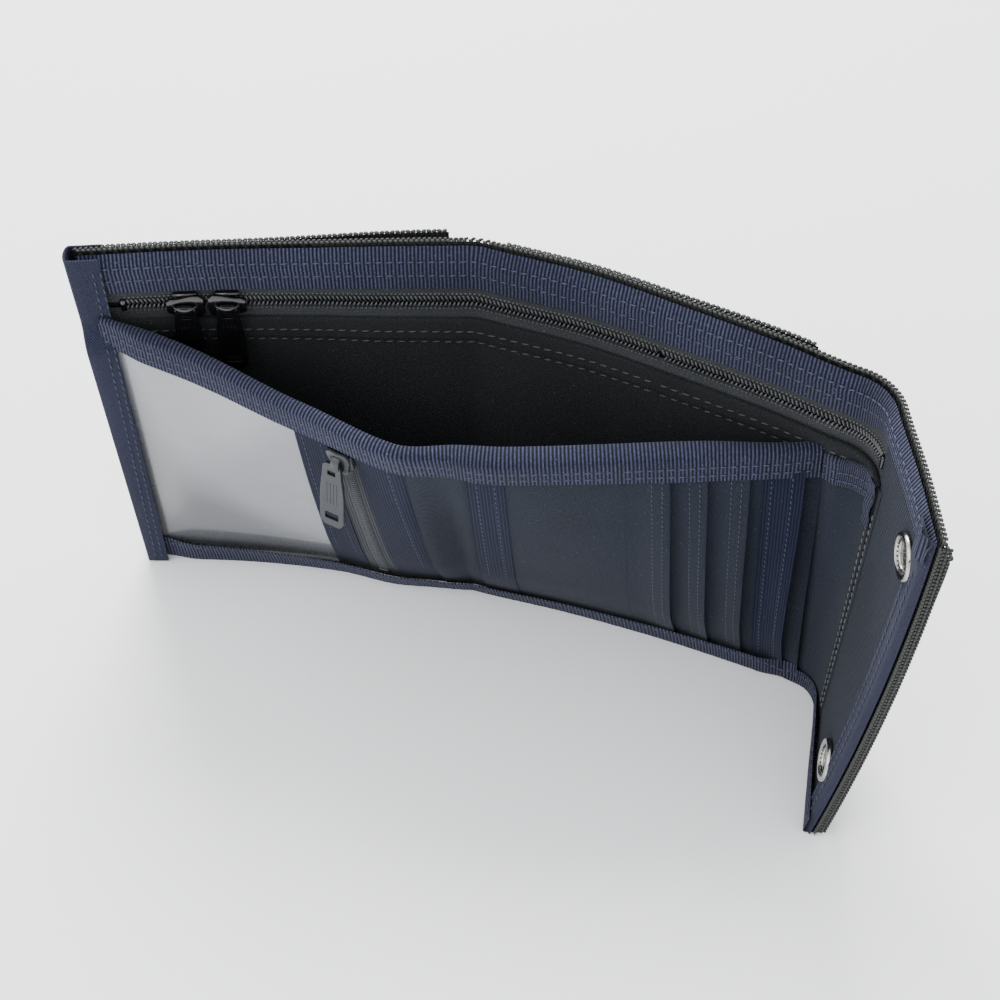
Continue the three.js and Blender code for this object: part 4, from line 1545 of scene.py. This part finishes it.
@dataclass
class Bindings:
    """Navy tape round the front wall's top and foot, the bottom edge, the left end and the flap's end."""

    top_height: float = 8.6
    bottom_height: float = 7.0
    flap_depth: float = 3.2
    end_reach: float = 1.7
    foot_height: float = 9.6
    foot_proud: float = 6.4
    outside: float = -1.9  # depth of the bottom tape's outer face

    def build(self) -> None:
        """Make every binding."""
        self.front_top()
        self.bottom()
        self.front_foot()
        self.left_end()
        self.flap_end()

    def front_top(self) -> None:
        """Bind the top of the front wall."""
        low, high = FRONT_HEIGHT - self.top_height, FRONT_HEIGHT
        runs = (
            ("left", (front_wall.start, FRONT_FOLD), Hold.FRONT, ("top_binding_left",)),
            ("web", (FRONT_FOLD, CARD_SPLIT), Hold.WEB, ()),
            ("cards", (CARD_SPLIT, front_wall.end - 1), Hold.CARDS, ("top_binding_middle",)),
        )
        for name, run, by, nodes in runs:
            tape = Binding(f"front_top_binding_{name}", run,
                           lambda a: rounded_over(low, high, self.top_depth(a), -1.2),
                           front_wall, NAVY, 2 * self.top_height + 4, 0.55).build()
            hold(tape, by, nodes)
            thread = Beads(f"front_top_stitches_{name}", NAVY_THREAD)
            for rise in (1.7, 4.6):
                frames = [framed(front_wall, along, low + rise, self.top_depth(along) + 0.12, STITCH_SLANT)
                          for along in steps(run, TAPE_PITCH)]
                thread.row(frames, TAPE_STITCH)
            hold(thread.build(), by)

    def front_foot(self) -> None:
        """Bind the foot of the front wall, over the pockets' lower edges."""
        runs = (
            ("left", (front_wall.start + 1, FRONT_FOLD), Hold.FRONT),
            ("web", (FRONT_FOLD, CARD_SPLIT), Hold.WEB),
            ("cards", (CARD_SPLIT, front_wall.end), Hold.CARDS),
        )
        for name, run, by in runs:
            band = Patch(f"front_foot_binding_{name}", run, (1.5, self.foot_height), front_wall, NAVY,
                         self.foot_proud, 0.7, 1.6, relief=self.foot_relief)
            hold(band.build(), by)
            thread = Beads(f"front_foot_stitches_{name}", NAVY_THREAD)
            level_stitches(thread, front_wall, run, lambda a: self.foot_height - 1.7, self.foot_proud + 0.5,
                           TAPE_PITCH, 0.42)
            hold(thread.build(), by)

    def foot_relief(self, along: float, up: float) -> float:
        """How the foot binding turns under, and draws in at both its ends."""
        turn = 1.5 * (1 - smoothstep(up, 0, 2.4))
        ends = 3 * (1 - smoothstep(along, 4, 12)) + 6 * smoothstep(along, front_wall.end - 12, front_wall.end)
        return -turn - ends

    def top_depth(self, along: float) -> float:
        """How proud the top binding's face stands, over the pockets' layers."""
        cards = smoothstep(along, FRONT_FOLD - 12, FRONT_FOLD + 6)
        thin = smoothstep(along, front_wall.place_of(55), front_wall.end)
        return 2.6 + 2.0 * cards - 2.4 * thin

    def foot_depth(self, along: float) -> float:
        """How far inwards the bottom binding reaches, over the front wall's foot."""
        full = smoothstep(along, 2, 14) * (1 - smoothstep(along, FOLD_2_START - 4, FOLD_2_START + 6))
        cards = smoothstep(along, FOLD_1_START - 10, FOLD_1_START + 14)
        return 3.8 + full * (0.5 + 0.5 * cards)

    def bottom(self) -> None:
        """Bind the bottom edge of both walls."""
        runs = (
            ("west", (0.6, SPLIT), Hold.SPINE, ("bottom_binding_left", "bottom_binding_middle")),
            ("east", (SPLIT, FLAP_END - 1.5), Hold.CORNER, ("flap_binding_bottom",)),
        )
        for name, run, by, nodes in runs:
            tape = Binding(f"bottom_tape_{name}", run,
                           lambda a: rounded_under(0.35, self.bottom_height, self.foot_depth(a),
                                                   self.outside),
                           back_wall, NAVY, 20, 0.5)
            hold(tape.build(), by, nodes)
            thread = Beads(f"bottom_stitches_{name}", NAVY_THREAD)
            for side in (1, -1):
                frames = []
                for along in steps(run, 2.6):
                    face = self.foot_depth(along) if side > 0 else self.outside
                    frames.append(framed(back_wall, along, 5.4, face + side * 0.12, STITCH_SLANT))
                thread.row(frames, TAPE_STITCH)
            hold(thread.build(), by)

    def end_depth(self, up: float) -> float:
        """How far inwards the left end's tape reaches, over the front wall's end."""
        return 4.2 + 2.6 * (1 - smoothstep(up, FRONT_HEIGHT - 6, FRONT_HEIGHT + 4))

    def end_width(self, up: float) -> float:
        """How wide the left end's tape shows, which is less at its foot."""
        return 8.6 - 2.2 * (1 - up / HEIGHT)

    def left_end(self) -> None:
        """Bind the left end, over both walls."""
        def section(up: float) -> list[tuple[float, float]]:
            """The tape's path round the end, as (along, depth)."""
            width = self.end_width(up)
            points = rounded_over(0.0, width, -1.6, self.end_depth(up))
            return [(width - level - self.end_reach * up / HEIGHT, depth) for level, depth in points]
        tape = Binding("left_end_binding", (0.6, HEIGHT - 0.4), section,
                       lambda up, along, depth: back_wall(along, up, depth), NAVY_TWILL, 18, 0.5, flip=True)
        hold(tape.build(), "left_panel", ("end_binding_left",))
        thread = Beads("left_end_stitches", NAVY_THREAD)
        for inset in (1.6, 3.4):
            frames = []
            for i in range(42):
                up = 4 + i * 2.7
                along = self.end_width(up) - inset
                for depth in (self.end_depth(up) + 0.1, -1.7):
                    frames.append(framed(back_wall, along, up, depth, 0.1, upright=True))
            thread.row(frames, (2.1, 0.38, 0.38))
        hold(thread.build(), "left_panel")

    def flap_end(self) -> None:
        """Tape the inside of the flap's free end, and plait the woven edges beyond it."""
        start, end = FLAP_END - 9.0, FLAP_END - 0.9
        low = HEIGHT - 11
        tape = Patch("flap_end_tape", (start, end), (0.8, HEIGHT - 1.0), back_wall, NAVY_TWILL,
                     self.flap_depth, 0.9, 0.7,
                     relief=lambda a, u: -1.7 * smoothstep(a, end - 2.4, end + 0.6) ** 1.5)
        hold(tape.build(), "flap", ("flap_binding_end",))
        turned = Patch("flap_end_tape_turning", (start + 2.6, end - 1.0), (low, HEIGHT - 1.4), back_wall,
                       NAVY, self.flap_depth + 0.6, 0.5, 0.5, low_edge=lambda a: low + 3 * (a - start) / 8,
                       relief=lambda a, u: 0.35 * math.sin(a * 2.1) - 1.2 * smoothstep(a, end - 2.4, end))
        hold(turned.build(), "flap")
        thread = Beads("flap_end_stitches", NAVY_THREAD)
        for inset in (1.5, 4.6):
            upright_stitches(thread, back_wall, start + inset, (3, low - 1), self.flap_depth + 0.1,
                             width=0.42)
        hold(thread.build(), "flap")
        edge = Beads("flap_end_edge", DARK_THREAD)
        for depth, slant, drop in ((-1.5, -0.4, 1), (-0.7, 0.4, 1), (0.1, -0.4, 2), (0.8, 0.4, 2)):
            frames = []
            for i in range(int((HEIGHT - drop - 1.6) / YARN_PITCH)):
                up = 2.4 + i * YARN_PITCH
                frames.append(framed(back_wall, FLAP_END - 0.5, up, depth, slant, upright=True))
            edge.row(frames, (1.5, 0.9, 0.9))
        hold(edge.build(), "flap")


@dataclass
class CornerGusset:
    """The end of the front wall's cloth, carried round fold 2 and sewn down on the flap."""

    low_start: float = 192.0
    high_start: float = 185.6
    seam: float = 211.0
    top: float = 99.4
    binding: float = 8.4

    def __call__(self, share: float, up: float, depth: float) -> Vector:
        """A point on the gusset.

        Args:
            share: millimetres from its crease, out of its length at the top.
            up: height.
            depth: depth outwards from its cloth.

        Returns:
            The point.
        """
        t = min(max(share / self.length, 0.0), 1.02)
        start = self.low_start + (self.high_start - self.low_start) * up / self.top
        along = start + (self.seam - start) * t
        rise = 1.6 * smoothstep(t, 0.0, 0.2) * (1 - smoothstep(t, 0.25, 0.95))
        settle = 0.6 * smoothstep(t, 0.6, 1.0)
        return back_wall(along, up * (0.93 + 0.06 * t), 2.7 - settle + rise * up / self.top + depth)

    @property
    def length(self) -> float:
        """Its length along the top."""
        return self.seam - self.high_start

    def build(self) -> None:
        """Make the gusset, its top binding with a turned-down end, and its seam."""
        cloth = Patch("corner_gusset_cloth", (0.0, self.length), (4.0, self.top - 2), self, RIBBED, 0.4, 0.5,
                      0.8, cut=((self.length + self.seam - self.low_start) / 2, self.top - 9))
        hold(cloth.build(), Hold.CORNER)
        run = (0.0, self.length - 4.0)
        low, high = self.top - self.binding, self.top
        tape = Binding("corner_gusset_binding", run, lambda a: rounded_over(low, high, 1.1, -0.9), self, NAVY,
                       2 * self.binding + 3, 0.5, 0.8)
        hold(tape.build(), Hold.CORNER)
        tail = Patch("corner_gusset_tail", (run[1] - 1.0, run[1] + 2.8), (high - 15.5, high - 0.4), self,
                     NAVY, 1.5, 0.5, 0.5, relief=lambda a, u: 0.25 * math.sin(u / 1.4))
        hold(tail.build(), Hold.CORNER)
        thread = Beads("corner_gusset_stitches", NAVY_THREAD)
        for rise in (1.6, 4.6):
            level_stitches(thread, self, run, lambda a, r=rise: low + r, 1.15, TAPE_PITCH, 0.42)
        hold(thread.build(), Hold.CORNER)
        seam = Beads("corner_gusset_seam", GREY_THREAD)
        for inset in (1.2, 3.6):
            upright_stitches(seam, self, self.length - inset, (8, self.top - 8), 0.45, width=0.55)
        hold(seam.build(), Hold.CORNER)


# ---------------------------------------------------------------------------------------------
# Snaps
# ---------------------------------------------------------------------------------------------


# Outlines to turn, as (radius, height).
SOCKET = ((3.3, -1.2), (3.3, 0.3), (3.6, 0.7), (4.1, 0.6), (4.4, 1.0), (4.9, 1.25), (5.4, 1.1), (5.7, 0.6),
          (5.75, 0.0))
# The black disc across each socket's mouth is painted shade for the hollow inside the ring.
SHADE_DISC = ((0.0, -0.1), (2.0, -0.1), (3.4, -0.1), (3.4, -0.6))
CAP = ((0.0, 1.15), (2.6, 1.1), (4.4, 0.8), (5.4, 0.25), (5.65, 0.0), (5.3, -0.1))
STUD = ((0.0, 2.6), (1.5, 2.5), (2.1, 2.0), (2.0, 1.3), (1.75, 0.8), (3.4, 0.6), (4.7, 0.45), (4.95, 0.0))


@dataclass
class Snaps:
    """Ring-spring sockets with caps on the flap, and studs on the left panel's outside."""

    ring_depth: float = 2.7
    inset: float = 11.8
    heights: tuple[float, float] = (18.0, 101.0)
    coils: int = 22

    def build(self) -> None:
        """Make both pairs."""
        for name, up in zip(("lower", "upper"), self.heights):
            along = FLAP_END - self.inset
            inside = framed(back_wall, along, up, self.ring_depth)
            socket = self.turned(SOCKET, f"snap_socket_{name}_ring", inside)
            hold(socket, "flap", (f"snap_socket_{name}",))
            # Black disc in the socket's mouth: painted shade for its hollow.
            hold(self.turned(SHADE_DISC, f"snap_shade_disc_{name}", inside, BLACK), "flap")
            spring = Beads(f"snap_spring_{name}", GUNMETAL)
            centre, run, facing = framed(back_wall, along, up, self.ring_depth + 0.7)
            rise = facing.cross(run).normalized()
            frames = []
            for i in range(self.coils):
                angle = math.tau * i / self.coils
                out = run * math.cos(angle) + rise * math.sin(angle)
                frames.append((centre + out * 3.8, out, facing))
            spring.row(frames, (0.8, 0.5, 0.7))
            hold(spring.build(), "flap")
            centre, run, facing = framed(back_wall, along, up, -2.2)
            cap = self.turned(CAP, f"snap_cap_{name}_dome", (centre, run, -facing))
            hold(cap, "flap", (f"snap_cap_{name}",))
            self.stud(name)

    def stud(self, name: str) -> None:
        """Make one stud where the frame's stud stands."""
        low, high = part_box(f"snap_stud_{name}")
        middle = (low + high) / 2 / MM
        point, inward = course(FOLD_1_START - 1e-6)
        distance = (Vector((middle.x, middle.y)) - point).dot(-unit(BEND_1))
        along = FOLD_1_START - distance
        centre, run, facing = framed(back_wall, along, middle.z, -2.1)
        stud = self.turned(STUD, f"snap_stud_{name}_post", (centre, run, -facing))
        hold(stud, "left_panel", (f"snap_stud_{name}",))

    def turned(self, outline: Sequence[tuple[float, float]], name: str, at: Spot,
               finish: Finish = NICKEL) -> bpy.types.Object:
        """Turn an outline about its axis and stand it on a wall.

        Args:
            outline: the section's (radius, height) points.
            name: the piece's name.
            at: where it stands.
            finish: its finish.

        Returns:
            The piece.
        """
        bm = bmesh.new()
        points = [bm.verts.new((r, 0, z)) for r, z in outline]
        edges = [bm.edges.new(pair) for pair in zip(points, points[1:])]
        bmesh.ops.spin(bm, geom=points + edges, cent=(0, 0, 0), axis=(0, 0, 1), angle=math.tau, steps=40,
                       use_merge=True)
        bmesh.ops.remove_doubles(bm, verts=bm.verts, dist=0.0005)
        rims = [e for e in bm.edges if e.is_boundary]
        if rims:
            bmesh.ops.holes_fill(bm, edges=rims)
        bmesh.ops.recalc_face_normals(bm, faces=bm.faces)
        place_on(bm, at)
        return soften(add_object(bm, name, finish), 0.15)


# ---------------------------------------------------------------------------------------------
# Studio
# ---------------------------------------------------------------------------------------------


@dataclass
class Studio:
    """Floor, soft lights and camera."""

    eye: Vector = Vector((115.6, -253.9, 405.5))
    heading: float = 24.0
    pitch: float = 50.0
    lens: float = 64.4
    floor_shade: float = 0.95

    def build(self) -> None:
        """Make the studio."""
        self.floor()
        self.camera()
        self.light("key", (-0.45, 0.75, 1.0), 32.0, 0.7)
        self.light("fill", (-0.5, -0.7, 0.9), 6.5, 1.0)
        world = bpy.data.worlds.new("Studio air")
        world.use_nodes = True
        air = world.node_tree.nodes["Background"]
        Nodes(world.node_tree).feed(air, {"Color": (0.95, 0.97, 1.0, 1.0), "Strength": 1.75})
        bpy.context.scene.world = world

    def floor(self) -> None:
        """Lay a plain pale floor."""
        bm = bmesh.new()
        bmesh.ops.create_grid(bm, x_segments=1, y_segments=1, size=3000)
        material, nodes, shader = start_material("Pale floor")
        shade = self.floor_shade
        nodes.feed(shader, {"Base Color": (shade, shade, shade, 1.0), "Roughness": 0.7})
        link_mesh(bm, "floor", material)

    def camera(self) -> None:
        """Aim the camera down at the open wallet."""
        data = bpy.data.cameras.new("camera")
        data.lens, data.sensor_width, data.clip_start = self.lens, 36.0, 0.01
        camera = bpy.data.objects.new("camera", data)
        camera.location = self.eye * MM
        camera.rotation_euler = (math.radians(90 - self.pitch), 0, math.radians(self.heading))
        bpy.context.scene.collection.objects.link(camera)
        bpy.context.scene.camera = camera

    def light(self, name: str, place: tuple[float, float, float], power: float, size: float) -> None:
        """Hang a soft square light that points at the wallet.

        Args:
            name: the light's name.
            place: where it hangs, in metres.
            power: its power in watts.
            size: its side in metres.
        """
        data = bpy.data.lights.new(name, "AREA")
        data.energy, data.size = power, size
        lamp = bpy.data.objects.new(name, data)
        lamp.location = place
        lamp.rotation_euler = (Vector((0, 0, 0.05)) - Vector(place)).to_track_quat("-Z", "Y").to_euler()
        bpy.context.scene.collection.objects.link(lamp)


def main() -> None:
    """Build the wallet and its studio."""
    logging.basicConfig(level=logging.INFO, format="%(name)s: %(message)s")
    Studio().build()
    for assembly in (BackWall(), LongZip(), LeftFront(), CardWall(), Bindings(), CornerGusset(), Snaps()):
        log.info("building %s", type(assembly).__name__)
        assembly.build()


if __name__ == "__main__":
    main()
